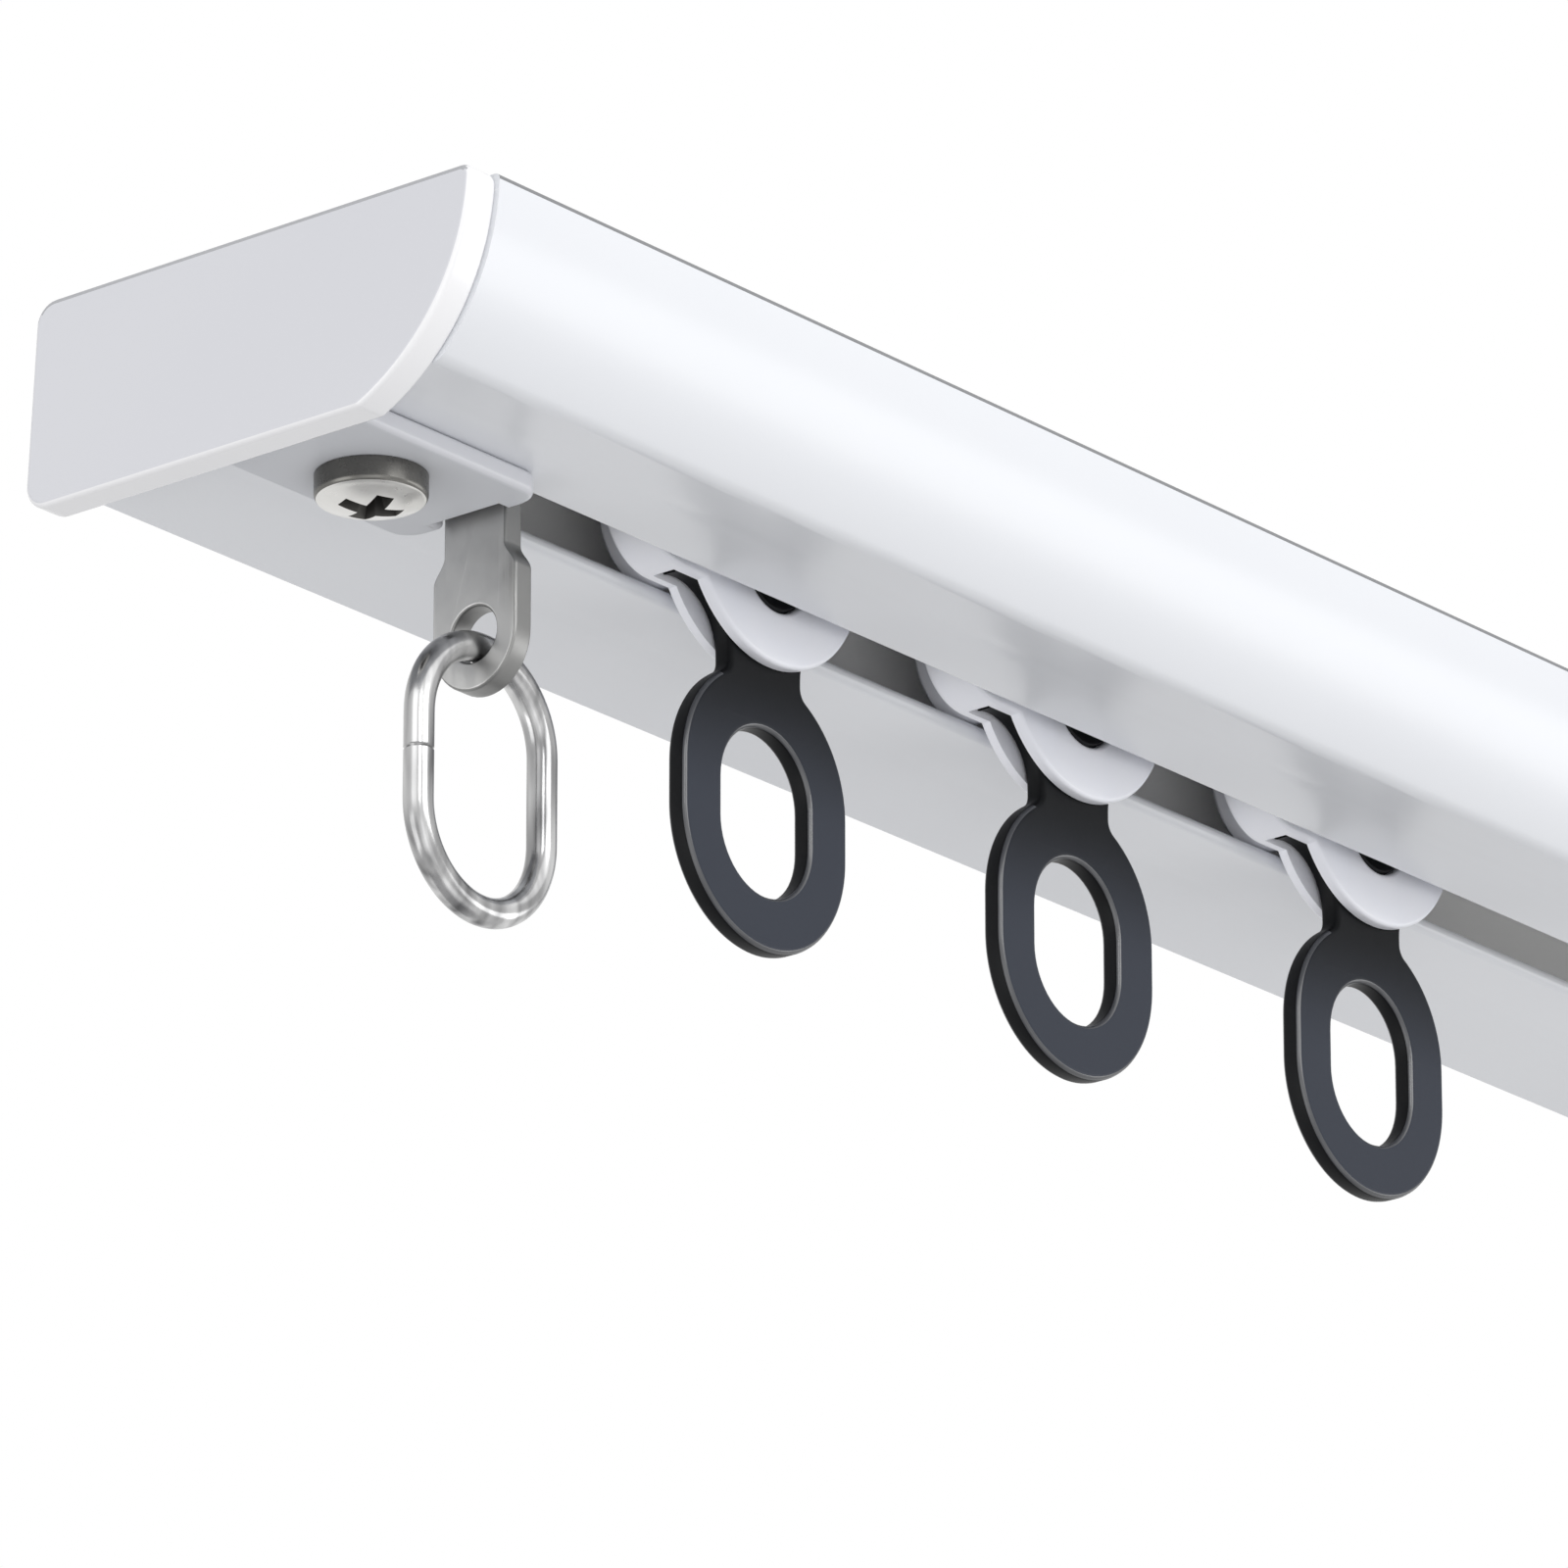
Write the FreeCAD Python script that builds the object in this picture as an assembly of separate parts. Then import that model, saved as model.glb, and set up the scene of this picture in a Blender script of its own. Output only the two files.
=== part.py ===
import FreeCAD, Part
import math
import os

# Curtain track: a curved-front aluminium rail with a slot along its underside, hung from a
# ceiling, with six roller gliders, and at each end a moulded cap, a screw, a steel hook plate
# and a split oval ring.
#
# Frame, in millimetres: X along the rail, the side seen in the photograph at -X; -Y is the
# curved front; +Z is up. The origin is on the rail's flat top face, midway between the two
# ceiling screw holes and above the middle of the slot.

# Rail section
RAIL_LENGTH = 395.0
RAIL_WIDTH = 36.0
RAIL_HEIGHT = 10.9
FRONT_REACH = 17.5        # middle of the slot to the front edge of the top face
FASCIA_RADIUS = 15.0      # curved front, its centre level with the top face
FASCIA_FOOT_RADIUS = 1.5  # where the front turns into the underside
BACK_LEAN_OFFSET = 0.75   # the back wall leans forward by this much at the top
WALL = 1.2
LIP_THICKNESS = 1.1
SLOT_WIDTH = 5.6
CHANNEL_WIDTH = 16.0      # between the two inner webs
HOLLOW_FOOT_WIDTH = 2.0   # least width of the front hollow at its foot
EDGE_RADIUS = 0.4

# Ceiling screw holes
MOUNT_PITCH = 250.0
MOUNT_HOLE_RADIUS = 2.0

# End cap
CAP_FLANGE = 2.5
CAP_DROP = 2.6            # how far the flange reaches below the rail
CAP_INSET = 0.2           # flange outline inside the rail's curved front
CAP_EDGE_RADIUS = 0.8
CAP_CORNER_RADIUS = 1.6
PLUG_LENGTH = 9.0
PLUG_CLEARANCE = 0.15
PLUG_TIP_CHAMFER = 0.5
TONGUE_LENGTH = 18.1      # from the flange's inner face
TONGUE_WIDTH = 11.3
TONGUE_THICKNESS = 1.45
TONGUE_CORNER_RADIUS = 1.8
TONGUE_EDGE_RADIUS = 0.45
SEAT_GAP = 0.05           # between faces that are clamped together

# Cap screw, M4 pan head with a cross recess
SCREW_FROM_FACE = 11.0
SCREW_RADIUS = 2.0
SCREW_LENGTH = 5.0
SCREW_HEAD_RADIUS = 3.5
SCREW_HEAD_SIDE = 1.35
SCREW_HEAD_EDGE_RADIUS = 0.35
SCREW_HEAD_HEIGHT = 2.3
RECESS_SPAN = 4.2
RECESS_WIDTH = 1.0
RECESS_DEPTH = 1.5
RECESS_TURN = 30.0        # degrees, as the screw stopped when tightened
THREAD_CLEARANCE = 0.05
SCREW_HOLE_CLEARANCE = 0.2

# Hook plate, bent from steel strip
PLATE_THICKNESS = 1.6
PLATE_FROM_FACE = 20.5    # cap's outer face to the hanging leg
PLATE_START = 5.0         # cap's outer face to the end of the clamped leg
PLATE_SIDE_CLEARANCE = 0.4
NECK_WIDTH = 5.0
TAB_WIDTH = 6.7
TAB_SHOULDER_TOP = 3.9    # below the rail's underside
TAB_SHOULDER_HEIGHT = 0.9
BEND_RADIUS = 0.5
HOOK_HOLE_RADIUS = 1.8
HOOK_HOLE_BELOW = 8.95    # hole centre below the rail's underside
HOOK_RIM = 1.85           # metal left under the hole

# End ring, a split oval link
RING_WIRE_RADIUS = 0.95
RING_WIDTH = 11.4         # between wire centres
RING_HEIGHT = 16.9        # between wire centres
RING_SPLIT = 0.25
RING_SPLIT_BELOW = 8.1    # top wire centre to the split
RING_REST_GAP = 0.08

# Gliders: three bunched at the -X end and three spread along the rest of the rail
FIRST_GLIDER_OFFSET = 47.6  # from the cap's outer face
LAST_GLIDER_OFFSET = 85.0   # from the other cap's outer face
BUNCH_COUNT = 3
BUNCH_PITCH = 31.25
SPREAD_COUNT = 3
RUN_GAP = 0.1             # roller tread above the lip
ROLLER_RADIUS = 4.1
ROLLER_INNER_OFFSET = 2.15  # middle of the slot to the roller's near face
ROLLER_CHAMFER = 0.4
ROLLER_HUB_RADIUS = 1.9
ROLLER_HUB_RELIEF = 0.35
ROLLER_BORE_CLEARANCE = 0.05
AXLE_RADIUS = 1.0
AXLE_SPACING = 12.6
AXLE_HEAD_RADIUS = 1.6
AXLE_HEAD = 0.4
AXLE_END_GAP = 0.1
AXLE_WALL_GAP = 2.95      # axle head to the channel's side
AXLE_SEAT_CLEARANCE = 0.02

# Glider carriage
CARRIAGE_NOSE = 13.2      # from the eye's pivot to the end of the long rounded nose
CARRIAGE_THICKNESS = 3.3
CARRIAGE_TOP = 2.6        # below the rail's top face
CARRIAGE_FOOT = 10.5      # underside, below the rail's top face
CARRIAGE_CORNER = 1.8
CARRIAGE_CHAMFER = 0.3
NOSE_RADIUS = 4.3
CHEEK_RADIUS = 8.2
CHEEK_CENTRE = 6.1        # below the rail's top face
EYE_SLOT_TOP = 7.5        # below the rail's top face
EYE_SLOT_REACH = 9.2      # from the eye's pivot into the nose

# Swinging eye
PIVOT_BELOW = 7.7         # below the rail's top face
HUB_RADIUS = 3.5
HUB_CLEARANCE = 0.08
HUB_RECESS = 0.1
EYE_THICKNESS = 1.5
EYE_SIDE_CLEARANCE = 0.1
EYE_RADIUS = 7.95
EYE_UPPER_CENTRE = 22.4   # below the rail's top face
EYE_LOWER_CENTRE = 25.1
EYE_HOLE_RADIUS = 4.25
EYE_HOLE_UPPER = 22.7
EYE_HOLE_LOWER = 25.2
EYE_EDGE = 0.3
EYE_NECK_WIDTH = 7.0
EYE_SHOULDER_RADIUS = 1.0
EYE_FLARE_RADIUS = 4.0
EYE_FLARE_FOOT = 14.2
EYE_HEAD_TOP = 9.5
EYE_HEAD_HALF = 8.6

# How the shapes are made
PAST = 1.0                # how far a cutter reaches past the faces it cuts
SAME = 1e-3               # places closer than this are one place

# Worked out from the sizes above
FRONT = -FRONT_REACH
BACK = FRONT + RAIL_WIDTH
UNDER = -RAIL_HEIGHT
LIP_TOP = UNDER + LIP_THICKNESS
HALF_SLOT = SLOT_WIDTH / 2
HALF_CHANNEL = CHANNEL_WIDTH / 2
FASCIA_CENTRE = FRONT + FASCIA_RADIUS
AXLE_REACH = HALF_CHANNEL - AXLE_WALL_GAP - AXLE_HEAD
ROLLER_WIDTH = AXLE_REACH - AXLE_END_GAP - ROLLER_INNER_OFFSET
HALF_OVERALL = RAIL_LENGTH / 2 + CAP_FLANGE
AXLE_Z = LIP_TOP + RUN_GAP + ROLLER_RADIUS
HOOK_HOLE_Z = UNDER - HOOK_HOLE_BELOW
RING_TOP_Z = HOOK_HOLE_Z - HOOK_HOLE_RADIUS + RING_WIRE_RADIUS + RING_REST_GAP
RING_X = PLATE_FROM_FACE + PLATE_THICKNESS / 2
HALF_TURN = 180.0


def vec(x, y, z):
    return FreeCAD.Vector(x, y, z)


def in_section(a, b):
    """A point of the rail's section: a across the rail, b up."""
    return vec(0, a, b)


def in_side(a, b):
    """A point of a glider's side view: a along the rail, b up."""
    return vec(a, 0, b)


def closed_face(place, start, steps):
    """A face from a start point and steps, each a point or a pair (point on arc, end)."""
    edges = []
    here = start
    for step in steps:
        if isinstance(step[0], tuple):
            edges.append(Part.Arc(place(*here), place(*step[0]), place(*step[1])).toShape())
            here = step[1]
        else:
            edges.append(Part.makeLine(place(*here), place(*step)))
            here = step
    return Part.Face(Part.Wire(edges))


def on_circle(centre, radius, degrees):
    angle = math.radians(degrees)
    return (centre[0] + radius * math.cos(angle), centre[1] + radius * math.sin(angle))


def box(x0, x1, y0, y1, z0, z1):
    return Part.makeBox(x1 - x0, y1 - y0, z1 - z0, vec(x0, y0, z0))


def across(radius, y0, y1, x, z):
    """A cylinder along Y."""
    return Part.makeCylinder(radius, y1 - y0, vec(x, y0, z), vec(0, 1, 0))


def edges_where(shape, test):
    return [edge for edge in shape.Edges if test(edge)]


def lies_at_x(x):
    """A test for edges that lie in the plane at x."""
    def test(edge):
        return abs(edge.BoundBox.XMin - x) < SAME and abs(edge.BoundBox.XMax - x) < SAME
    return test


def lies_at_y(y):
    """A test for edges that lie in the plane at y."""
    def test(edge):
        return abs(edge.BoundBox.YMin - y) < SAME and abs(edge.BoundBox.YMax - y) < SAME
    return test


def runs_along_x(length, y, z):
    """A test for edges longer than a length along X whose middle is at (y, z)."""
    def test(edge):
        middle = edge.BoundBox.Center
        is_long = edge.BoundBox.XLength > length
        return is_long and abs(middle.y - y) < SAME and abs(middle.z - z) < SAME
    return test


def fascia_y(z, inset=0.0):
    """Where the curved front, moved in by inset, stands at height z."""
    return FASCIA_CENTRE - math.sqrt((FASCIA_RADIUS - inset) ** 2 - z ** 2)


def fascia_arc(z_from, z_to, inset=0.0):
    """An arc step of the curved front between two heights."""
    middle = (z_from + z_to) / 2
    return ((fascia_y(middle, inset), middle), (fascia_y(z_to, inset), z_to))


def back_y(z):
    """The leaning back wall's outer face at height z."""
    return BACK - BACK_LEAN_OFFSET * (1 - z / UNDER)


def front_cell(clearance, x0, length):
    """The hollow behind the curved front, made smaller by a clearance."""
    top = -WALL - clearance
    web = -HALF_CHANNEL - WALL - clearance
    inset = WALL + clearance
    reach = FASCIA_CENTRE - (web - HOLLOW_FOOT_WIDTH)
    narrow = -math.sqrt((FASCIA_RADIUS - inset) ** 2 - reach ** 2)
    foot = max(LIP_TOP + clearance, narrow)
    start = (fascia_y(top, inset), top)
    steps = [(web, top), (web, foot), (fascia_y(foot, inset), foot), fascia_arc(foot, top, inset)]
    face = closed_face(in_section, start, steps)
    face.translate(vec(x0, 0, 0))
    return face.extrude(vec(length, 0, 0))


def back_cell(clearance, x0, length):
    """The hollow in front of the back wall, made smaller by a clearance."""
    top = -WALL - clearance
    foot = LIP_TOP + clearance
    web = HALF_CHANNEL + WALL + clearance
    wall = WALL + clearance
    start = (web, top)
    steps = [(back_y(top) - wall, top), (back_y(foot) - wall, foot), (web, foot), start]
    face = closed_face(in_section, start, steps)
    face.translate(vec(x0, 0, 0))
    return face.extrude(vec(length, 0, 0))


def lip_nose(side):
    """The round edge of a lip at the slot, as a step, for side -1 or 1."""
    middle_z = (UNDER + LIP_TOP) / 2
    root = side * (HALF_SLOT + LIP_THICKNESS / 2)
    nose = (side * HALF_SLOT, middle_z)
    return root, nose


def rail_walls(rail):
    """The rail parted into its walls, which touch, so that each wall is a simple solid."""
    front_web = -HALF_CHANNEL - WALL
    back_web = HALF_CHANNEL + WALL
    middle = (LIP_TOP - WALL) / 2
    low = UNDER - PAST
    front = FRONT - PAST
    back = BACK + PAST
    regions = [
        (front, back, -WALL, PAST),             # roof
        (front, 0.0, low, LIP_TOP),             # front floor with its lip
        (0.0, back, low, LIP_TOP),              # back floor with its lip
        (front, front_web, middle, -WALL),      # upper half of the curved front
        (front, front_web, LIP_TOP, middle),    # lower half of the curved front
        (front_web, 0.0, LIP_TOP, -WALL),       # front web
        (0.0, back_web, LIP_TOP, -WALL),        # back web
        (back_web, back, LIP_TOP, -WALL),       # back wall
    ]
    end = RAIL_LENGTH / 2 + PAST
    walls = [rail.common(box(-end, end, *region)) for region in regions]
    return Part.makeCompound([solid for wall in walls for solid in wall.Solids])


def track_extrusion():
    """The rail: one profile with a slotted channel and a hollow on each side of it."""
    front_root, front_nose = lip_nose(-1)
    back_root, back_nose = lip_nose(1)
    start = (FRONT, 0.0)
    steps = [
        fascia_arc(0.0, UNDER),
        (front_root, UNDER),
        (front_nose, (front_root, LIP_TOP)),
        (-HALF_CHANNEL, LIP_TOP),
        (-HALF_CHANNEL, -WALL),
        (HALF_CHANNEL, -WALL),
        (HALF_CHANNEL, LIP_TOP),
        (back_root, LIP_TOP),
        (back_nose, (back_root, UNDER)),
        (BACK, UNDER),
        (back_y(0.0), 0.0),
        start,
    ]
    face = closed_face(in_section, start, steps)
    rail = face.extrude(vec(RAIL_LENGTH, 0, 0))
    foot = edges_where(rail, runs_along_x(RAIL_LENGTH / 2, fascia_y(UNDER), UNDER))
    rail = rail.makeFillet(FASCIA_FOOT_RADIUS, foot)
    for y, z in ((FRONT, 0.0), (back_y(0.0), 0.0), (BACK, UNDER)):
        rail = rail.makeFillet(EDGE_RADIUS, edges_where(rail, runs_along_x(RAIL_LENGTH / 2, y, z)))
    rail = rail.cut(front_cell(0.0, 0.0, RAIL_LENGTH))
    rail = rail.cut(back_cell(0.0, 0.0, RAIL_LENGTH))
    rail.translate(vec(-RAIL_LENGTH / 2, 0, 0))
    for x in (-MOUNT_PITCH / 2, MOUNT_PITCH / 2):
        hole = Part.makeCylinder(MOUNT_HOLE_RADIUS, WALL + 2 * PAST, vec(x, 0, -WALL - PAST))
        rail = rail.cut(hole)
    return rail_walls(rail)


def cap_flange():
    """The cap's outer plate, its outer edge rounded; its outer face is at x = 0."""
    foot = UNDER - CAP_DROP
    round_ = CAP_CORNER_RADIUS
    start = (fascia_y(0.0, CAP_INSET), 0.0)
    front_foot = (fascia_y(foot, CAP_INSET), foot)
    low_back = (BACK, foot + round_)
    low_mid = on_circle((BACK - round_, foot + round_), round_, -45)
    top_back = back_y(-round_)
    top_mid = on_circle((top_back - round_, -round_), round_, 45)
    steps = [
        fascia_arc(0.0, foot, CAP_INSET),
        (BACK - round_, foot),
        (low_mid, low_back),
        (top_back, -round_),
        (top_mid, (top_back - round_, 0.0)),
        start,
    ]
    flange = closed_face(in_section, start, steps).extrude(vec(CAP_FLANGE, 0, 0))
    for (y, z), radius in ((start, CAP_EDGE_RADIUS), (front_foot, CAP_CORNER_RADIUS / 2)):
        corner = edges_where(flange, runs_along_x(CAP_FLANGE / 2, y, z))
        flange = flange.makeFillet(radius, corner)
    rim = edges_where(flange, lies_at_x(0.0))
    return flange.makeFillet(CAP_EDGE_RADIUS, rim)


def cap_tongue():
    """The tongue under the rail's lips, notched for the hook plate."""
    top = UNDER - SEAT_GAP
    foot = top - TONGUE_THICKNESS
    end = CAP_FLANGE + TONGUE_LENGTH
    half = TONGUE_WIDTH / 2
    tongue = box(CAP_FLANGE - EDGE_RADIUS, end, -half, half, foot, top)
    upright = edges_where(tongue, lambda e: e.BoundBox.ZLength > TONGUE_THICKNESS / 2
                          and abs(e.BoundBox.Center.x - end) < SAME)
    tongue = tongue.makeFillet(TONGUE_CORNER_RADIUS, upright)
    rim = edges_where(tongue, lambda e: e.BoundBox.ZLength < SAME
                      and abs(e.BoundBox.Center.z - foot) < SAME
                      and e.BoundBox.XMax > CAP_FLANGE + EDGE_RADIUS)
    tongue = tongue.makeFillet(TONGUE_EDGE_RADIUS, rim)
    notch_half = TAB_WIDTH / 2 + PLATE_SIDE_CLEARANCE / 2
    notch_start = PLATE_FROM_FACE - PLATE_THICKNESS / 2
    notch = box(notch_start, end + PAST, -notch_half, notch_half, foot - PAST, top + PAST)
    tongue = tongue.cut(notch)
    hole = Part.makeCylinder(SCREW_RADIUS + SCREW_HOLE_CLEARANCE, TONGUE_THICKNESS + 2 * PAST,
                             vec(SCREW_FROM_FACE, 0, foot - PAST))
    return tongue.cut(hole)


def plug(cell):
    """One of the cap's plugs: it fills a hollow of the rail and is slimmer at its tip."""
    shank = cell(PLUG_CLEARANCE, CAP_FLANGE - EDGE_RADIUS, EDGE_RADIUS + PLUG_LENGTH)
    tip = lies_at_x(CAP_FLANGE + PLUG_LENGTH)
    return shank.makeChamfer(PLUG_TIP_CHAMFER, edges_where(shank, tip))


def end_cap():
    """The moulded cap of the -X end, in place."""
    cap = cap_flange().fuse([cap_tongue(), plug(front_cell), plug(back_cell)]).removeSplitter()
    cap.translate(vec(-HALF_OVERALL, 0, 0))
    return cap


def cross_at(z, span, width):
    """The outline of the cross recess at height z, as one wire."""
    a = span / 2
    b = width / 2
    points = [(a, -b), (a, b), (b, b), (b, a), (-b, a), (-b, b),
              (-a, b), (-a, -b), (-b, -b), (-b, -a), (b, -a), (b, -b)]
    corners = [vec(x, y, z) for x, y in points]
    return Part.makePolygon(corners + corners[:1])


def cap_screw():
    """The pan-head screw that clamps tongue, lips and hook plate, seen from below."""
    seat = UNDER - SEAT_GAP - TONGUE_THICKNESS - SEAT_GAP
    side = seat - SCREW_HEAD_SIDE
    crown = seat - SCREW_HEAD_HEIGHT
    tip = seat + SCREW_LENGTH
    chamfer = SCREW_RADIUS / 4
    edge = SCREW_HEAD_EDGE_RADIUS
    face_radius = SCREW_HEAD_RADIUS - edge
    rise = SCREW_HEAD_HEIGHT - SCREW_HEAD_SIDE - edge
    dome_radius = (face_radius ** 2 + rise ** 2) / (2 * rise)
    half_dome = math.degrees(math.asin(face_radius / dome_radius)) / 2
    start = (0.0, crown)
    steps = [
        (on_circle((0.0, crown + dome_radius), dome_radius, half_dome - HALF_TURN / 2),
         (face_radius, side - edge)),
        (on_circle((face_radius, side), edge, -HALF_TURN / 4), (SCREW_HEAD_RADIUS, side)),
        (SCREW_HEAD_RADIUS, seat),
        (SCREW_RADIUS, seat),
        (SCREW_RADIUS, tip - chamfer),
        (SCREW_RADIUS - chamfer, tip),
        (0.0, tip),
        start,
    ]
    face = closed_face(in_side, start, steps)
    screw = face.revolve(vec(0, 0, 0), vec(0, 0, 1), 360)
    mouth = cross_at(crown - RECESS_WIDTH / 2, RECESS_SPAN, RECESS_WIDTH)
    floor = cross_at(crown + RECESS_DEPTH, RECESS_SPAN / 2, RECESS_WIDTH / 2)
    recess = Part.makeLoft([mouth, floor], True, True)
    recess.rotate(vec(0, 0, 0), vec(0, 0, 1), RECESS_TURN)
    screw = screw.cut(recess)
    screw.translate(vec(SCREW_FROM_FACE - HALF_OVERALL, 0, 0))
    return screw


def hook_plate():
    """The bent steel plate: one leg clamped on the lips, the other hanging with a hole."""
    inner = LIP_TOP + SEAT_GAP
    outer = inner + PLATE_THICKNESS
    face_x = PLATE_FROM_FACE
    back_x = face_x + PLATE_THICKNESS
    out_r = BEND_RADIUS + PLATE_THICKNESS
    end_radius = HOOK_HOLE_RADIUS + HOOK_RIM
    end_z = HOOK_HOLE_Z
    half = NECK_WIDTH / 2
    bend = (back_x - out_r, outer - out_r)
    start = (PLATE_START, inner)
    steps = [
        (face_x - BEND_RADIUS, inner),
        (on_circle((face_x - BEND_RADIUS, inner - BEND_RADIUS), BEND_RADIUS, 45),
         (face_x, inner - BEND_RADIUS)),
        (face_x, end_z),
        (back_x, end_z),
        (back_x, bend[1]),
        (on_circle(bend, out_r, 45), (bend[0], outer)),
        (PLATE_START, outer),
        start,
    ]
    strip = closed_face(in_side, start, steps).extrude(vec(0, NECK_WIDTH, 0))
    strip.translate(vec(0, -half, 0))
    wide = HALF_CHANNEL - PLATE_SIDE_CLEARANCE
    wide_end = face_x - PLATE_THICKNESS
    leg = box(PLATE_START, wide_end, -wide, wide, inner, outer)
    corners = edges_where(leg, lambda e: e.BoundBox.ZLength > PLATE_THICKNESS / 2)
    leg = leg.makeFillet(PLATE_THICKNESS, corners)

    top = UNDER - TAB_SHOULDER_TOP
    shoulder = top - TAB_SHOULDER_HEIGHT
    tab_half = TAB_WIDTH / 2
    start = (-half, top)
    steps = [
        (-tab_half, shoulder),
        (-tab_half, end_z),
        ((0.0, end_z - end_radius), (tab_half, end_z)),
        (tab_half, shoulder),
        (half, top),
        start,
    ]
    tab = closed_face(in_section, start, steps).extrude(vec(PLATE_THICKNESS, 0, 0))
    tab.translate(vec(face_x, 0, 0))
    plate = strip.fuse([leg, tab]).removeSplitter()
    eye = Part.makeCylinder(HOOK_HOLE_RADIUS, PLATE_THICKNESS + 2 * PAST,
                            vec(face_x - PAST, 0, HOOK_HOLE_Z), vec(1, 0, 0))
    thread = Part.makeCylinder(SCREW_RADIUS + THREAD_CLEARANCE, PLATE_THICKNESS + 2 * PAST,
                               vec(SCREW_FROM_FACE, 0, inner - PAST))
    plate = plate.cut(eye.fuse(thread))
    plate.translate(vec(-HALF_OVERALL, 0, 0))
    return plate


def end_ring():
    """The split oval link that hangs in the hook plate's hole."""
    radius = RING_WIDTH / 2
    upper = (0.0, RING_TOP_Z - radius)
    lower = (0.0, RING_TOP_Z - RING_HEIGHT + radius)
    split = RING_TOP_Z - RING_SPLIT_BELOW
    left = -radius
    edges = [
        Part.makeLine(in_side(left, split + RING_SPLIT / 2), in_side(left, upper[1])),
        Part.Arc(in_side(left, upper[1]), in_side(0.0, RING_TOP_Z),
                 in_side(radius, upper[1])).toShape(),
        Part.makeLine(in_side(radius, upper[1]), in_side(radius, lower[1])),
        Part.Arc(in_side(radius, lower[1]), in_side(0.0, lower[1] - radius),
                 in_side(left, lower[1])).toShape(),
        Part.makeLine(in_side(left, lower[1]), in_side(left, split - RING_SPLIT / 2)),
    ]
    path = Part.Wire(edges)
    section = Part.Wire(Part.makeCircle(RING_WIRE_RADIUS, in_side(left, split + RING_SPLIT / 2),
                                        vec(0, 0, 1)))
    ring = path.makePipeShell([section], True, True)
    ring.translate(vec(RING_X - HALF_OVERALL, 0, 0))
    return ring


def carriage():
    """The moulded carriage: a block with a long nose, and two round cheeks for the eye."""
    nose = CARRIAGE_NOSE
    tail = CHEEK_RADIUS
    corner = CARRIAGE_CORNER
    top = -CARRIAGE_TOP
    foot = -CARRIAGE_FOOT
    centre = (0.0, -CHEEK_CENTRE)
    chord = math.sqrt(CHEEK_RADIUS ** 2 - (CARRIAGE_FOOT - CHEEK_CENTRE) ** 2)
    bow = (NOSE_RADIUS - nose, foot + NOSE_RADIUS)
    start = (-nose, bow[1])
    steps = [
        (on_circle(bow, NOSE_RADIUS, 225), (bow[0], foot)),
        (-chord, foot),
        (on_circle(centre, CHEEK_RADIUS, -60), (tail, centre[1])),
        (tail, top - corner),
        (on_circle((tail - corner, top - corner), corner, 45), (tail - corner, top)),
        (corner - nose, top),
        (on_circle((corner - nose, top - corner), corner, 135), (-nose, top - corner)),
        start,
    ]
    body = closed_face(in_side, start, steps).extrude(vec(0, CARRIAGE_THICKNESS, 0))
    body.translate(vec(0, -CARRIAGE_THICKNESS / 2, 0))
    side = CARRIAGE_THICKNESS / 2
    rims = edges_where(body, lies_at_y(-side)) + edges_where(body, lies_at_y(side))
    body = body.makeChamfer(CARRIAGE_CHAMFER, rims)
    eye_half = EYE_THICKNESS / 2 + EYE_SIDE_CLEARANCE
    low = -CHEEK_CENTRE - CHEEK_RADIUS - PAST
    slot = box(-EYE_SLOT_REACH, tail + PAST, -eye_half, eye_half, low, -EYE_SLOT_TOP)
    body = body.cut(slot)
    hub_bore = HUB_RADIUS + HUB_CLEARANCE
    body = body.cut(across(hub_bore, -side - PAST, side + PAST, 0, -PIVOT_BELOW))
    for x in (-AXLE_SPACING / 2, AXLE_SPACING / 2):
        bore = AXLE_RADIUS + AXLE_SEAT_CLEARANCE
        body = body.cut(across(bore, -side - PAST, side + PAST, x, AXLE_Z))
    return body


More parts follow.
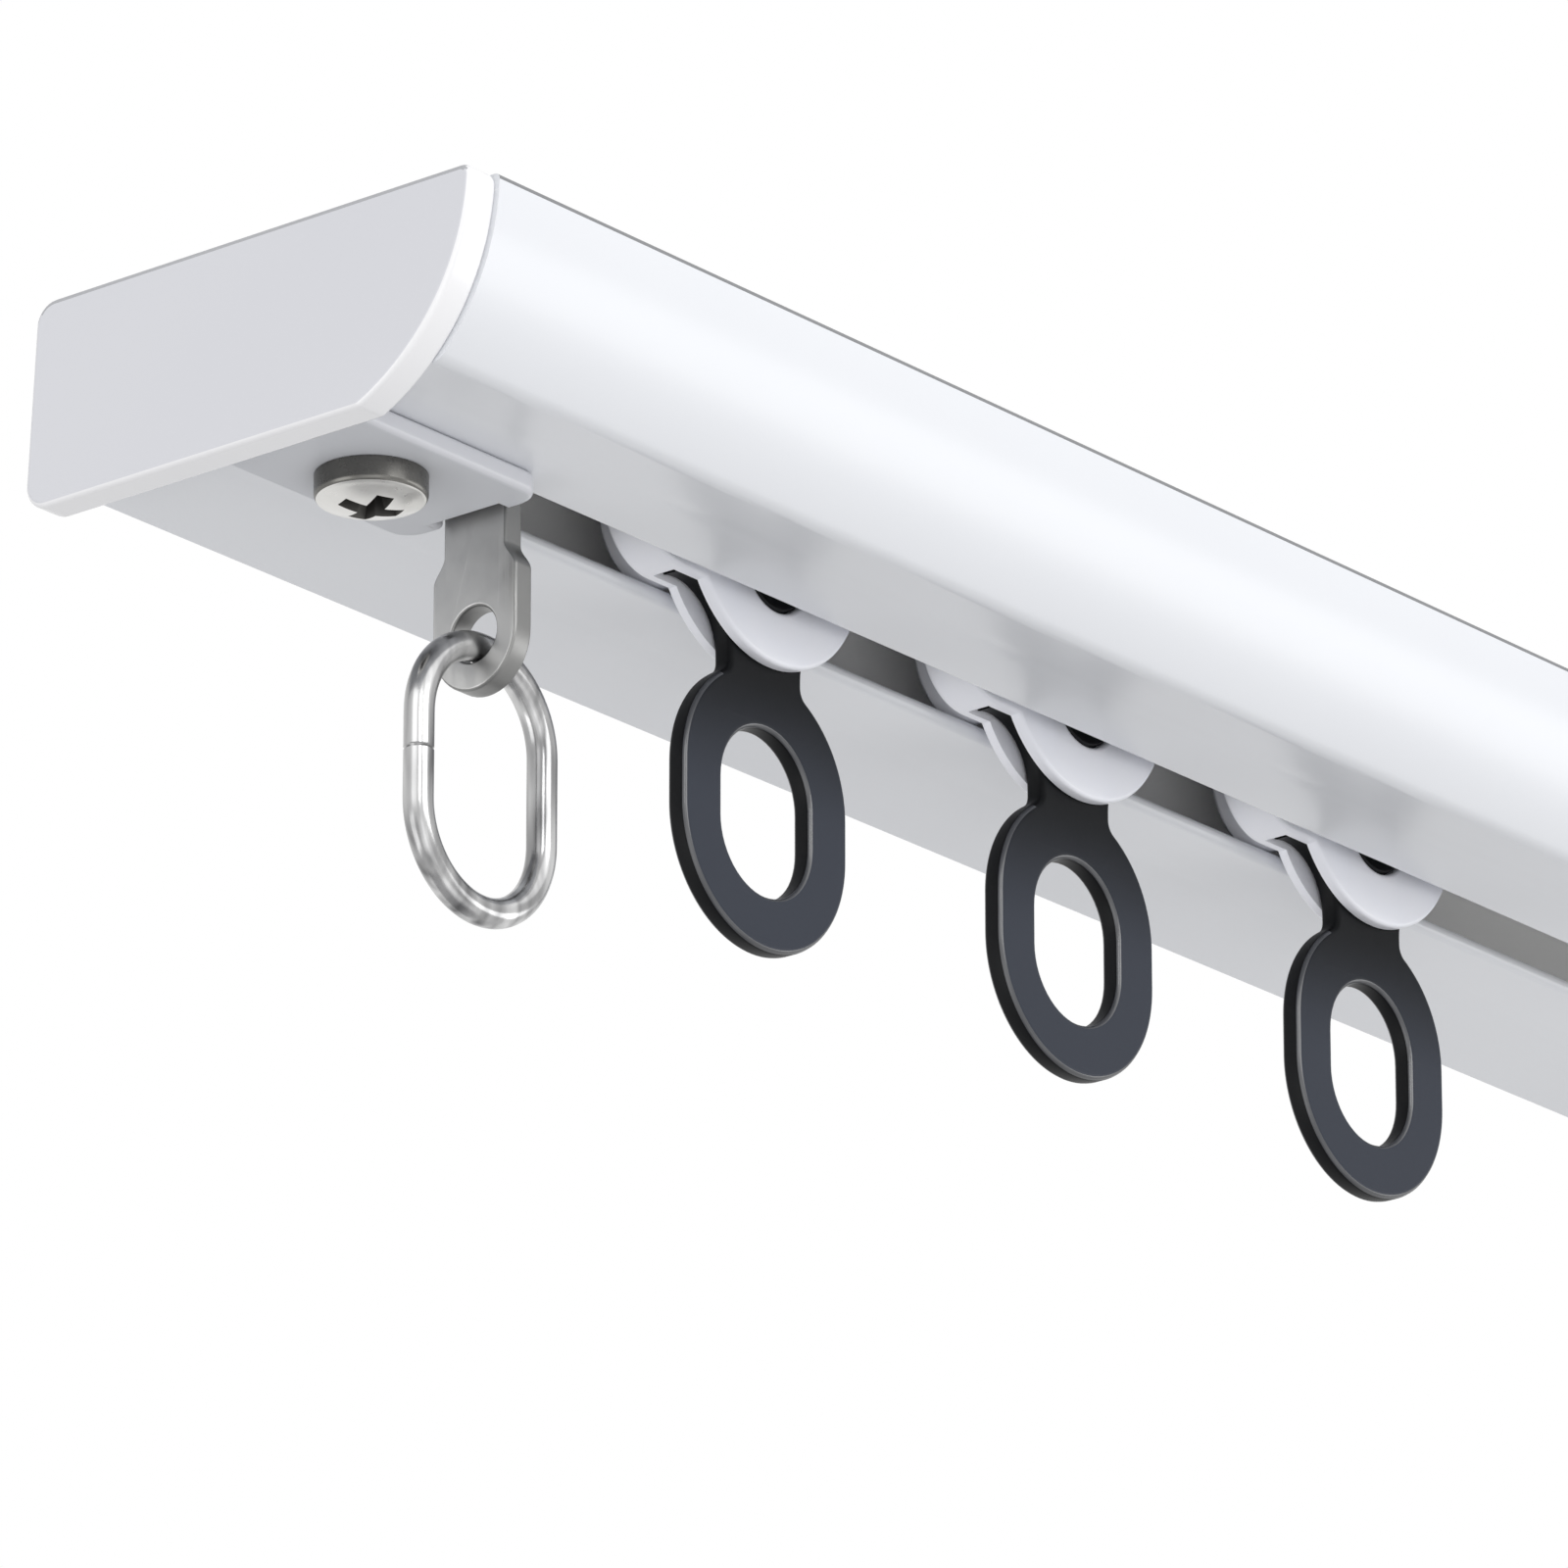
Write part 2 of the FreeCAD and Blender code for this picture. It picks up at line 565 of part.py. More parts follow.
def swinging_eye():
    """The eye that takes a curtain hook: hub, flared head, neck and oval eye in one."""
    side = EYE_THICKNESS / 2
    neck = EYE_NECK_WIDTH / 2
    upper = (0.0, -EYE_UPPER_CENTRE)
    lower = (0.0, -EYE_LOWER_CENTRE)
    fillet = EYE_SHOULDER_RADIUS
    rise = math.sqrt((EYE_RADIUS + fillet) ** 2 - (neck + fillet) ** 2)
    shoulder = (neck + fillet, upper[1] + rise)
    touch = math.degrees(math.atan2(rise, neck + fillet))
    flare = (neck + EYE_FLARE_RADIUS, -EYE_FLARE_FOOT)
    head = -EYE_HEAD_TOP
    tip_drop = EYE_FLARE_RADIUS - (EYE_HEAD_HALF - neck)
    tip_z = flare[1] + math.sqrt(EYE_FLARE_RADIUS ** 2 - tip_drop ** 2)
    tip_angle = math.degrees(math.atan2(tip_z - flare[1], -tip_drop))
    mid_flare = (HALF_TURN + tip_angle) / 2
    mid_shoulder = HALF_TURN + touch / 2

    def flip(point):
        return (-point[0], point[1])

    touch_point = on_circle(upper, EYE_RADIUS, touch)
    right = [
        (EYE_HEAD_HALF, head),
        (EYE_HEAD_HALF, tip_z),
        (on_circle(flare, EYE_FLARE_RADIUS, mid_flare), (neck, flare[1])),
        (neck, shoulder[1]),
        (on_circle(shoulder, fillet, mid_shoulder), touch_point),
        (on_circle(upper, EYE_RADIUS, touch / 2), (EYE_RADIUS, upper[1])),
        (EYE_RADIUS, lower[1]),
    ]
    left = [
        ((0.0, lower[1] - EYE_RADIUS), (-EYE_RADIUS, lower[1])),
        (-EYE_RADIUS, upper[1]),
        (flip(on_circle(upper, EYE_RADIUS, touch / 2)), flip(touch_point)),
        (flip(on_circle(shoulder, fillet, mid_shoulder)), (-neck, shoulder[1])),
        (-neck, flare[1]),
        (flip(on_circle(flare, EYE_FLARE_RADIUS, mid_flare)), (-EYE_HEAD_HALF, tip_z)),
        (-EYE_HEAD_HALF, head),
    ]
    start = (-EYE_HEAD_HALF, head)
    face = closed_face(in_side, start, right + left)
    plate = face.extrude(vec(0, EYE_THICKNESS, 0))
    plate.translate(vec(0, -side, 0))
    hole_edge = EYE_HOLE_RADIUS
    start = (-hole_edge, -EYE_HOLE_UPPER)
    steps = [
        ((0.0, -EYE_HOLE_UPPER + hole_edge), (hole_edge, -EYE_HOLE_UPPER)),
        (hole_edge, -EYE_HOLE_LOWER),
        ((0.0, -EYE_HOLE_LOWER - hole_edge), (-hole_edge, -EYE_HOLE_LOWER)),
        start,
    ]
    hole = closed_face(in_side, start, steps).extrude(vec(0, EYE_THICKNESS + 2 * PAST, 0))
    hole.translate(vec(0, -side - PAST, 0))
    plate = plate.cut(hole)
    rims = edges_where(plate, lies_at_y(-side)) + edges_where(plate, lies_at_y(side))
    plate = plate.makeChamfer(EYE_EDGE, rims)
    hub_half = CARRIAGE_THICKNESS / 2 - HUB_RECESS
    return plate.fuse(across(HUB_RADIUS, -hub_half, hub_half, 0, -PIVOT_BELOW)).removeSplitter()


def glider_axles():
    """The two pins of a glider, headed at both ends."""
    reach = AXLE_REACH
    pins = []
    for x in (-AXLE_SPACING / 2, AXLE_SPACING / 2):
        pin = across(AXLE_RADIUS, -reach, reach, x, AXLE_Z)
        near = across(AXLE_HEAD_RADIUS, -reach - AXLE_HEAD, -reach, x, AXLE_Z)
        far = across(AXLE_HEAD_RADIUS, reach, reach + AXLE_HEAD, x, AXLE_Z)
        pins.append(pin.fuse([near, far]).removeSplitter())
    return Part.makeCompound(pins)


def roller(side):
    """One roller, with chamfered tread edges and relieved faces, for side -1 or 1."""
    near = ROLLER_INNER_OFFSET
    far = ROLLER_INNER_OFFSET + ROLLER_WIDTH
    bore = AXLE_RADIUS + ROLLER_BORE_CLEARANCE
    rim = ROLLER_RADIUS - ROLLER_CHAMFER
    start = (bore, near)
    steps = [
        (ROLLER_HUB_RADIUS, near),
        (ROLLER_HUB_RADIUS + ROLLER_HUB_RELIEF, near + ROLLER_HUB_RELIEF),
        (rim - ROLLER_HUB_RELIEF, near + ROLLER_HUB_RELIEF),
        (rim, near),
        (ROLLER_RADIUS, near + ROLLER_CHAMFER),
        (ROLLER_RADIUS, far - ROLLER_CHAMFER),
        (rim, far),
        (bore, far),
        start,
    ]
    face = closed_face(lambda a, b: vec(a, side * b, 0), start, steps)
    return face.revolve(vec(0, 0, 0), vec(0, 1, 0), 360)


def roller_pair(x):
    """The two rollers of one axle."""
    pair = [roller(-1), roller(1)]
    for one in pair:
        one.translate(vec(x, 0, AXLE_Z))
    return Part.makeCompound(pair)


def glider_places():
    """Where each glider stands, from the middle of the rail."""
    first = FIRST_GLIDER_OFFSET - HALF_OVERALL
    bunched = [first + index * BUNCH_PITCH for index in range(BUNCH_COUNT)]
    gap = (HALF_OVERALL - LAST_GLIDER_OFFSET - bunched[-1]) / SPREAD_COUNT
    spread = [bunched[-1] + index * gap for index in range(1, SPREAD_COUNT + 1)]
    return bunched + spread


def mirrored(shape):
    """The same piece for the other end of the rail."""
    return shape.mirror(vec(0, 0, 0), vec(1, 0, 0))


def write(shape, node):
    shape.exportStep("parts/" + node + ".step")
    print(node, "solids", len(shape.Solids), "valid", shape.isValid(), "volume", round(shape.Volume, 2))


def main():
    os.makedirs("parts", exist_ok=True)
    write(track_extrusion(), "track_extrusion")
    ends = {"end_cap": end_cap(), "cap_screw": cap_screw(),
            "hook_plate": hook_plate(), "end_ring": end_ring()}
    for name, shape in ends.items():
        write(shape, name + "_left")
        write(mirrored(shape), name + "_right")
    half_axles = AXLE_SPACING / 2
    pieces = {"carriage": carriage(), "eye": swinging_eye(), "axles": glider_axles(),
              "left_rollers": roller_pair(-half_axles), "right_rollers": roller_pair(half_axles)}
    for number, x in enumerate(glider_places(), start=1):
        for name, shape in pieces.items():
            placed = shape.copy()
            placed.translate(vec(x, 0, 0))
            write(placed, "glider_%d_%s" % (number, name))


main()
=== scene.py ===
"""Curtain track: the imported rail, caps and gliders, dressed and lit for a picture.

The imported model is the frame. The axles and the rollers are shown as they are, with finishes.
The rail, caps, screws, hook plates, rings, carriages and eyes are built here with their rounded
edges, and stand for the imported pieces.
"""
import logging
import math
from collections.abc import Sequence
from dataclasses import dataclass, field
from enum import Enum

import bmesh
import bpy
from mathutils import Matrix, Vector


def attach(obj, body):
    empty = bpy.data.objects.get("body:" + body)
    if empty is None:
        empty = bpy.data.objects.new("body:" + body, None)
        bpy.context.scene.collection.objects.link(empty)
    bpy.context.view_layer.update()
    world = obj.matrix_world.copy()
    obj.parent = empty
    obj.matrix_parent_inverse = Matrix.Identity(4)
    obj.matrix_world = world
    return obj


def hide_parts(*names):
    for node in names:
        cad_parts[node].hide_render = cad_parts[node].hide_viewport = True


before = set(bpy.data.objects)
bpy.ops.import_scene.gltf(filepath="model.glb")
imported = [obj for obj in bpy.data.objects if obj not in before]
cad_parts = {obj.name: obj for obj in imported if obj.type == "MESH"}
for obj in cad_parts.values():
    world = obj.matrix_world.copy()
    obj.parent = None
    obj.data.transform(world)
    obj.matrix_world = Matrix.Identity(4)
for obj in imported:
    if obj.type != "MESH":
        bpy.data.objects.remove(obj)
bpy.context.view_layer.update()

log = logging.getLogger("curtain_track")

MM = 0.001
HALF_OVERALL = 200.0
# Most of a noise's values lie between these two.
NOISE_LOW, NOISE_HIGH = 0.3, 0.7
# A wave texture of scale 1 turns this many radians over one unit.
WAVE_RADIANS = 20
# Below this a radius in mm counts as none, and vertices this near in metres are one.
NO_RADIUS = 1e-6
SAME_SPOT = 0.0005 * MM
# Edges sharper than this, in degrees, aren't shaded smooth.
SHARP_ANGLE = 32.0

Point = tuple[float, float]
Triple = tuple[float, float, float]
Form = bmesh.types.BMesh
Mesh = bpy.types.Mesh
Node = bpy.types.Node
Socket = bpy.types.NodeSocket
# What a finish is dressed with: its relief, as a normal, and the marks that its gloss follows.
Dressing = tuple[Socket, Socket]
Thing = bpy.types.Object
Tree = bpy.types.NodeTree


class End(Enum):
    """An end of the rail; the value is the side of the origin that it is on."""

    LEFT = -1
    RIGHT = 1

    @property
    def word(self) -> str:
        """The end's name as it stands in the names of the pieces."""
        return self.name.lower()


class Plane(Enum):
    """The plane an outline is drawn in; the value turns it there from the ground plane."""

    SIDE = Matrix(((1, 0, 0, 0), (0, 0, -1, 0), (0, 1, 0, 0), (0, 0, 0, 1)))
    SECTION = Matrix(((0, 0, 1, 0), (1, 0, 0, 0), (0, 1, 0, 0), (0, 0, 0, 1)))
    GROUND = Matrix.Identity(4)


# Colour and node helpers


def linear(hex_colour: str) -> tuple[float, float, float, float]:
    """Turns an sRGB colour into the linear one that a shader takes.

    Args:
        hex_colour: six hex digits after a hash sign.

    Returns:
        Red, green, blue and an alpha of 1.
    """
    channels = [int(hex_colour[i : i + 2], 16) / 255 for i in (1, 3, 5)]
    lin = [c / 12.92 if c <= 0.04045 else ((c + 0.055) / 1.055) ** 2.4 for c in channels]
    return (lin[0], lin[1], lin[2], 1.0)


def per_metre(size_mm: float) -> float:
    """The texture scale at which one cell of a pattern measures size_mm."""
    return 1.0 / (size_mm * MM)


def add_node(tree: Tree, kind: str, inputs: dict | None = None, **settings: object) -> Node:
    """Adds a shader node, with its settings and what its inputs take.

    Args:
        tree: the node tree to add to.
        kind: the node's type, after the word ShaderNode.
        inputs: input name or number to a value, or to the socket to link from.
        settings: the node's own properties.

    Returns:
        The new node.
    """
    node = tree.nodes.new("ShaderNode" + kind)
    for name, value in settings.items():
        setattr(node, name, value)
    for name, value in (inputs or {}).items():
        if isinstance(value, Socket):
            tree.links.new(value, node.inputs[name])
        else:
            node.inputs[name].default_value = value
    return node


@dataclass(frozen=True)
class Pattern:
    """What a finish draws its patterns with: a node tree, and the socket of the place in metres."""

    tree: Tree
    place: Socket

    def noise(self, size_mm: float, detail: float = 3.0) -> Socket:
        """Cloudy noise, from 0 to 1.

        Args:
            size_mm: size of a blot.
            detail: how many finer layers it has.

        Returns:
            The socket of its value.
        """
        inputs = {"Vector": self.place, "Scale": per_metre(size_mm), "Detail": detail}
        return add_node(self.tree, "TexNoise", inputs).outputs["Fac"]

    def stretched(self, place: Socket, scale: Sequence[float]) -> Socket:
        """Noise with a scale of its own along each axis of a place."""
        mapped = add_node(self.tree, "Mapping", {"Vector": place, "Scale": Vector(scale)})
        inputs = {"Vector": mapped.outputs["Vector"], "Scale": 1.0, "Detail": 2.0}
        return add_node(self.tree, "TexNoise", inputs).outputs["Fac"]

    def streaks(self, size_mm: Sequence[float]) -> Socket:
        """Noise whose streaks measure size_mm along X, Y and Z, for drawn or rolled metal."""
        return self.stretched(self.place, [per_metre(size) for size in size_mm])

    def axis(self, name: str) -> Socket:
        """The place along one axis."""
        return add_node(self.tree, "SeparateXYZ", {"Vector": self.place}).outputs[name]

    def reckoned(self, operation: str, *values: float | Socket) -> Socket:
        """The result of a Math node's operation on some values."""
        return add_node(self.tree, "Math", dict(enumerate(values)), operation=operation).outputs[0]

    def ramp(self, value: Socket, low_mm: float, high_mm: float) -> Socket:
        """A soft step from 0 to 1 while a length goes from low_mm to high_mm."""
        inputs = {"Value": value, "From Min": low_mm * MM, "From Max": high_mm * MM}
        step = add_node(self.tree, "MapRange", inputs, interpolation_type="SMOOTHSTEP")
        return step.outputs["Result"]

    def spread(self, share: Socket, low: float, high: float) -> Socket:
        """Stretches the range where noise mostly lies to low and high."""
        inputs = {"Value": share, "From Min": NOISE_LOW, "From Max": NOISE_HIGH,
                  "To Min": low, "To Max": high}
        return add_node(self.tree, "MapRange", inputs).outputs["Result"]

    def relief(self, *layers: tuple[Socket, float]) -> Socket:
        """Bumps of real depths, laid on each other.

        Args:
            layers: the height of each, from 0 to 1, and the mm that a height of 1 measures.

        Returns:
            The socket of the bumped normal.
        """
        under: dict = {}
        for height, depth_mm in layers:
            inputs = {"Height": height, "Distance": depth_mm * MM, "Strength": 1.0, **under}
            under = {"Normal": add_node(self.tree, "Bump", inputs).outputs["Normal"]}
        return under["Normal"]


# Finishes


@dataclass(frozen=True)
class Finish:
    """What every finish has: a colour that varies a little, gloss, and a surface relief."""

    name: str
    colour: str
    second_colour: str
    roughness: float
    metallic: float = 0.0
    ior: float = 1.5
    specular: float = 0.5
    patch_mm: float = 30.0
    # How far the roughness goes below and above its middle.
    gloss_range: tuple[float, float] = (0.04, 0.04)

    def material(self) -> bpy.types.Material:
        """Builds the material, or hands back the one made before.

        Returns:
            The material, named for what the real piece is made of.
        """
        made = bpy.data.materials.get(self.name)
        if made:
            return made
        made = bpy.data.materials.new(self.name)
        made.use_nodes = True
        tree = made.node_tree
        tree.nodes.clear()
        shader = add_node(tree, "BsdfPrincipled", self.all_over())
        add_node(tree, "OutputMaterial", {"Surface": shader.outputs["BSDF"]})
        pattern = Pattern(tree, add_node(tree, "TexCoord").outputs["Object"])
        mix = add_node(tree, "Mix", {"Factor": self.share(pattern)}, data_type="RGBA")
        ends = [socket for socket in mix.inputs if socket.type == "RGBA"]
        ends[0].default_value = linear(self.colour)
        ends[1].default_value = linear(self.second_colour)
        colour = next(socket for socket in mix.outputs if socket.type == "RGBA")
        normal, marks = self.dress(pattern)
        less, more = self.gloss_range
        gloss = pattern.spread(marks, self.roughness - less, self.roughness + more)
        for socket, name in ((colour, "Base Color"), (normal, "Normal"), (gloss, "Roughness")):
            tree.links.new(socket, shader.inputs[name])
        return made

    def all_over(self) -> dict:
        """The numbers that are the same all over, by the shader's socket."""
        if self.metallic:
            return {"Metallic": self.metallic}
        return {"IOR": self.ior, "Specular IOR Level": self.specular}

    def share(self, pattern: Pattern) -> Socket:
        """How much of the second colour there is at a place: cloudy patches."""
        return pattern.noise(self.patch_mm, detail=2.0)

    def dress(self, pattern: Pattern) -> Dressing:
        """The finish's own relief and marks; each kind of finish has its own."""
        raise NotImplementedError


@dataclass(frozen=True)
class StovedPaint(Finish):
    """White stoving paint on an extrusion: glossy, faint orange peel, die lines beneath it."""

    gloss_range: tuple[float, float] = (0.03, 0.03)
    peel_mm: float = 1.7
    peel_depth_mm: float = 0.003
    die_line_mm: Triple = (220.0, 1.4, 1.4)
    die_line_depth_mm: float = 0.0009
    web_from_middle_mm: float = 8.7
    web_reflection_band_mm: float = 1.0
    web_depth_mm: float = 0.012

    def dress(self, pattern: Pattern) -> Dressing:
        """Orange peel over die lines, and the dips where the inner webs have drawn in."""
        lines = pattern.streaks(self.die_line_mm)
        side = pattern.reckoned("ABSOLUTE", pattern.axis("Y"))
        away = pattern.reckoned("SUBTRACT", side, self.web_from_middle_mm * MM)
        dip = pattern.ramp(pattern.reckoned("ABSOLUTE", away), 0.0, self.web_reflection_band_mm)
        peel = pattern.noise(self.peel_mm)
        return pattern.relief((lines, self.die_line_depth_mm), (dip, self.web_depth_mm),
                              (peel, self.peel_depth_mm)), lines


@dataclass(frozen=True)
class DieLines(Finish):
    """A thin coat over extruded aluminium: dull, with the die's lines along the rail."""

    gloss_range: tuple[float, float] = (0.06, 0.06)
    line_mm: Triple = (90.0, 0.35, 0.35)
    line_depth_mm: float = 0.004

    def dress(self, pattern: Pattern) -> Dressing:
        """Die lines in relief and in gloss."""
        lines = pattern.streaks(self.line_mm)
        return pattern.relief((lines, self.line_depth_mm)), lines


@dataclass(frozen=True)
class MouldedPlastic(Finish):
    """Injection-moulded plastic: the fine eroded texture of the tool, and soft flow marks."""

    grain_mm: float = 0.3
    grain_depth_mm: float = 0.003
    flow_mm: float = 9.0
    flow_depth_mm: float = 0.01
    translucency: float = 0.0
    glow_mm: float = 1.0

    def all_over(self) -> dict:
        """As for every finish, and a little light let through where the plastic is thin."""
        numbers = super().all_over()
        if self.translucency:
            numbers |= {"Subsurface Weight": self.translucency,
                        "Subsurface Radius": (1.0, 1.0, 1.0),
                        "Subsurface Scale": self.glow_mm * MM}
        return numbers

    def dress(self, pattern: Pattern) -> Dressing:
        """Grain over flow marks, which the gloss follows."""
        flow = pattern.noise(self.flow_mm, detail=1.0)
        grain = pattern.noise(self.grain_mm, detail=1.0)
        return pattern.relief((flow, self.flow_depth_mm), (grain, self.grain_depth_mm)), flow


@dataclass(frozen=True)
class ShadedBlackPlastic(MouldedPlastic):
    """Black plastic with painted shade: near black by the rail, where the carriage and rail shade
    it, and greyer lower down.
    """

    # Painted shade: the first colour above the upper height, the second below the lower one.
    shaded_above_mm: float = -11.5
    unshaded_below_mm: float = -22.0
    wobble_mm: float = 5.0

    def share(self, pattern: Pattern) -> Socket:
        """None near the rail, all of it round the eye, with an uneven border."""
        height = pattern.reckoned("MULTIPLY_ADD", super().share(pattern), self.wobble_mm * MM,
                                  pattern.axis("Z"))
        return pattern.ramp(height, self.shaded_above_mm, self.unshaded_below_mm)


@dataclass(frozen=True)
class RolledSteel(Finish):
    """Plated strip: satin, with the rolling grain along the strip and small scuffs."""

    gloss_range: tuple[float, float] = (0.05, 0.08)
    grain_mm: Triple = (0.2, 0.2, 6.0)
    grain_depth_mm: float = 0.002
    scuff_mm: float = 1.4

    def dress(self, pattern: Pattern) -> Dressing:
        """Rolling grain in relief, scuffs in gloss."""
        grain = pattern.streaks(self.grain_mm)
        return pattern.relief((grain, self.grain_depth_mm)), pattern.noise(self.scuff_mm)


@dataclass(frozen=True)
class TurnedSteel(Finish):
    """Plated steel turned on a lathe: rings round the piece's own axis, and a bright gloss.

    The rings stand 2 pi times radian_mm apart.
    """

    gloss_range: tuple[float, float] = (0.04, 0.05)
    radian_mm: float = 0.22
    ring_depth_mm: float = 0.0015
    bloom_mm: float = 0.8
    axis: str = "Z"

    def dress(self, pattern: Pattern) -> Dressing:
        """Tool rings in relief, with plating bloom in the gloss."""
        inputs = {"Vector": pattern.place, "Scale": per_metre(self.radian_mm) / WAVE_RADIANS,
                  "Distortion": 0.3}
        rings = add_node(pattern.tree, "TexWave", inputs, wave_type="RINGS",
                         rings_direction=self.axis).outputs["Fac"]
        return pattern.relief((rings, self.ring_depth_mm)), pattern.noise(self.bloom_mm)


@dataclass(frozen=True)
class DrawnWire(Finish):
    """Plated drawn wire, polished: fine lines along the wire, a mirror-like gloss, and painted
    reflections in bands.
    """

    gloss_range: tuple[float, float] = (0.02, 0.05)
    # Streaks in the whole length of the wire, and round it.
    lines: Triple = (3.0, 50.0, 1.0)
    line_depth_mm: float = 0.0012
    # Painted reflection bands: their sizes along X, Y and Z.
    reflection_band_mm: Triple = (1.5, 1.5, 9.0)
    smudge_mm: float = 2.5

    def share(self, pattern: Pattern) -> Socket:
        """Painted reflections: light and dark bands along the limbs."""
        return pattern.spread(pattern.streaks(self.reflection_band_mm), 0.0, 1.0)

    def dress(self, pattern: Pattern) -> Dressing:
        """Lines along the wire, from the piece's own map of length and turn, and smudges."""
        run = add_node(pattern.tree, "TexCoord").outputs["UV"]
        lines = pattern.stretched(run, self.lines)
        return pattern.relief((lines, self.line_depth_mm)), pattern.noise(self.smudge_mm)


# Stoving paint is near white and glossy; its peel breaks up the edge of a highlight.
RAIL_PAINT = StovedPaint("white_stoving_paint_on_aluminium", "#EEF0F3", "#E9EBEF", 0.24)
# Painted shade: the rounded top of the front is drawn grey, a thin dark line along the top of the
# rail.
RAIL_TOP_SHADE = DieLines("thin_stoving_paint_on_edge", "#8E8F91", "#868789", 0.45, specular=0.2)
# Little paint gets into the slot: it lies thin and dull there, with the die lines showing. It is
# drawn whiter than the outside, as painted light in the shaded channel.
CHANNEL_PAINT = DieLines("thin_stoving_paint_on_aluminium", "#FAFAF9", "#F6F6F5", 0.5)
# The caps are a shade cooler than the rail, and their tool texture takes the shine off.
CAP_PLASTIC = MouldedPlastic("white_moulded_abs", "#E0E1E5", "#DBDCE1", 0.36, ior=1.54)
# The tool is polished round the cap's rim, so the rim is glossier than the face. It is also drawn
# whiter, as painted light where the rim faces the lamps.
RIM_PLASTIC = MouldedPlastic("white_polished_abs", "#FAFAFB", "#F7F7F8", 0.2, ior=1.54)
# Painted shade: the cap's rounded top edge is drawn grey and dull, a thin dark line along its top.
CAP_TOP_SHADE = MouldedPlastic("white_abs_at_parting_line", "#BDBEC1", "#B6B7BA", 0.5,
                                 specular=0.2)
# The tool is left rough under the tongue, so it is duller than the cap's face. It is also drawn
# greyer, as painted shade under the flange.
TONGUE_PLASTIC = MouldedPlastic("white_eroded_abs", "#D9DBDF", "#D3D5D9", 0.5, specular=0.35)
# Acetal lets a little light in, which gives the carriages their milky, bluish look.
CARRIAGE_PLASTIC = MouldedPlastic("white_moulded_acetal", "#F9FAFF", "#F3F5FD", 0.36, ior=1.48,
                                  translucency=0.15, patch_mm=3.0)
# The rollers are nylon: whiter than the carriage, and polished a little by running.
ROLLER_PLASTIC = MouldedPlastic("white_moulded_nylon", "#F0F1F6", "#E9EBF3", 0.32, ior=1.53,
                                translucency=0.2)
# Black acetal with painted shade: near black by the rail, where the carriage and rail shade it, and
# a soft blue grey lower down.
EYE_PLASTIC = ShadedBlackPlastic("black_moulded_acetal", "#131416", "#373B44", 0.4, specular=0.12)
# The tool's edge is polished: the rounding catches a thin line of light.
EYE_RIDGE_PLASTIC = MouldedPlastic("black_polished_acetal", "#2A2C31", "#303237", 0.3,
                                   specular=1.0, flow_depth_mm=0.002)
# The sides are left as they come out of the tool: dull, and the blackest part.
EYE_SIDE_PLASTIC = MouldedPlastic("black_eroded_acetal", "#0D0E10", "#101113", 0.45, specular=0.12)
# Bright nickel on a turned screw shows its rings only where a highlight crosses them.
SCREW_PLATING = TurnedSteel("nickel_plated_turned_steel", "#E0DFDC", "#D2D1CE", 0.3, metallic=1.0)
# The head's side is drawn darker than its face: a painted dark reflection.
SCREW_SIDE_PLATING = TurnedSteel("nickel_plated_rolled_steel", "#747370", "#605F5C", 0.28,
                                 metallic=1.0)
# The cross recess is drawn darker and duller than the head.
RECESS_STEEL = TurnedSteel("dull_steel_in_recess", "#5F5E5B", "#4B4A48", 0.5, metallic=1.0)
# The axles are plain ground steel.
AXLE_STEEL = TurnedSteel("ground_steel", "#B4B5B8", "#9C9DA1", 0.3, metallic=1.0, axis="Y",
                         radian_mm=0.15)
# Zinc on rolled strip is a satin mid grey with a grain along the strip.
PLATE_STEEL = RolledSteel("zinc_plated_rolled_steel", "#C4C4C3", "#B6B6B5", 0.36, metallic=1.0)
# The stamp shears the strip's edges: rougher and darker than its faces.
SHEARED_STEEL = RolledSteel("zinc_plated_sheared_steel", "#8B8B8A", "#7E7E7D", 0.4, metallic=1.0)
# The link is polished nickel, with painted reflections: bright and dark bands, broken by the
# drawing lines.
LINK_WIRE = DrawnWire("nickel_plated_drawn_wire", "#CDCDCD", "#6B6B6C", 0.2, metallic=1.0)
# A pale, matt floor with a faint cloudiness, as painted board has.
PALE_FLOOR = MouldedPlastic("painted_board", "#F4F4F4", "#EFEFEF", 0.7, patch_mm=400.0,
                            grain_mm=3.0, flow_mm=150.0)


# Outlines and meshes


def arc(centre: Point, radius: float, start: float, stop: float, steps: int) -> list[Point]:
    """Points of an arc.

    Args:
        centre: the arc's centre.
        radius: its radius.
        start: first angle in degrees.
        stop: last angle in degrees.
        steps: how many chords it is drawn with.

    Returns:
        The points, ends included.
    """
    turns = [math.radians(start + (stop - start) * i / steps) for i in range(steps + 1)]
    return [(centre[0] + radius * math.cos(t), centre[1] + radius * math.sin(t)) for t in turns]


def circle(centre: Point, radius: float, count: int) -> list[Point]:
    """So many points of a whole circle, from its right side on."""
    return arc(centre, radius, 0.0, 360.0 - 360.0 / count, count - 1)


def slope(sine: float) -> float:
    """The angle in degrees that has this sine."""
    return math.degrees(math.asin(sine))


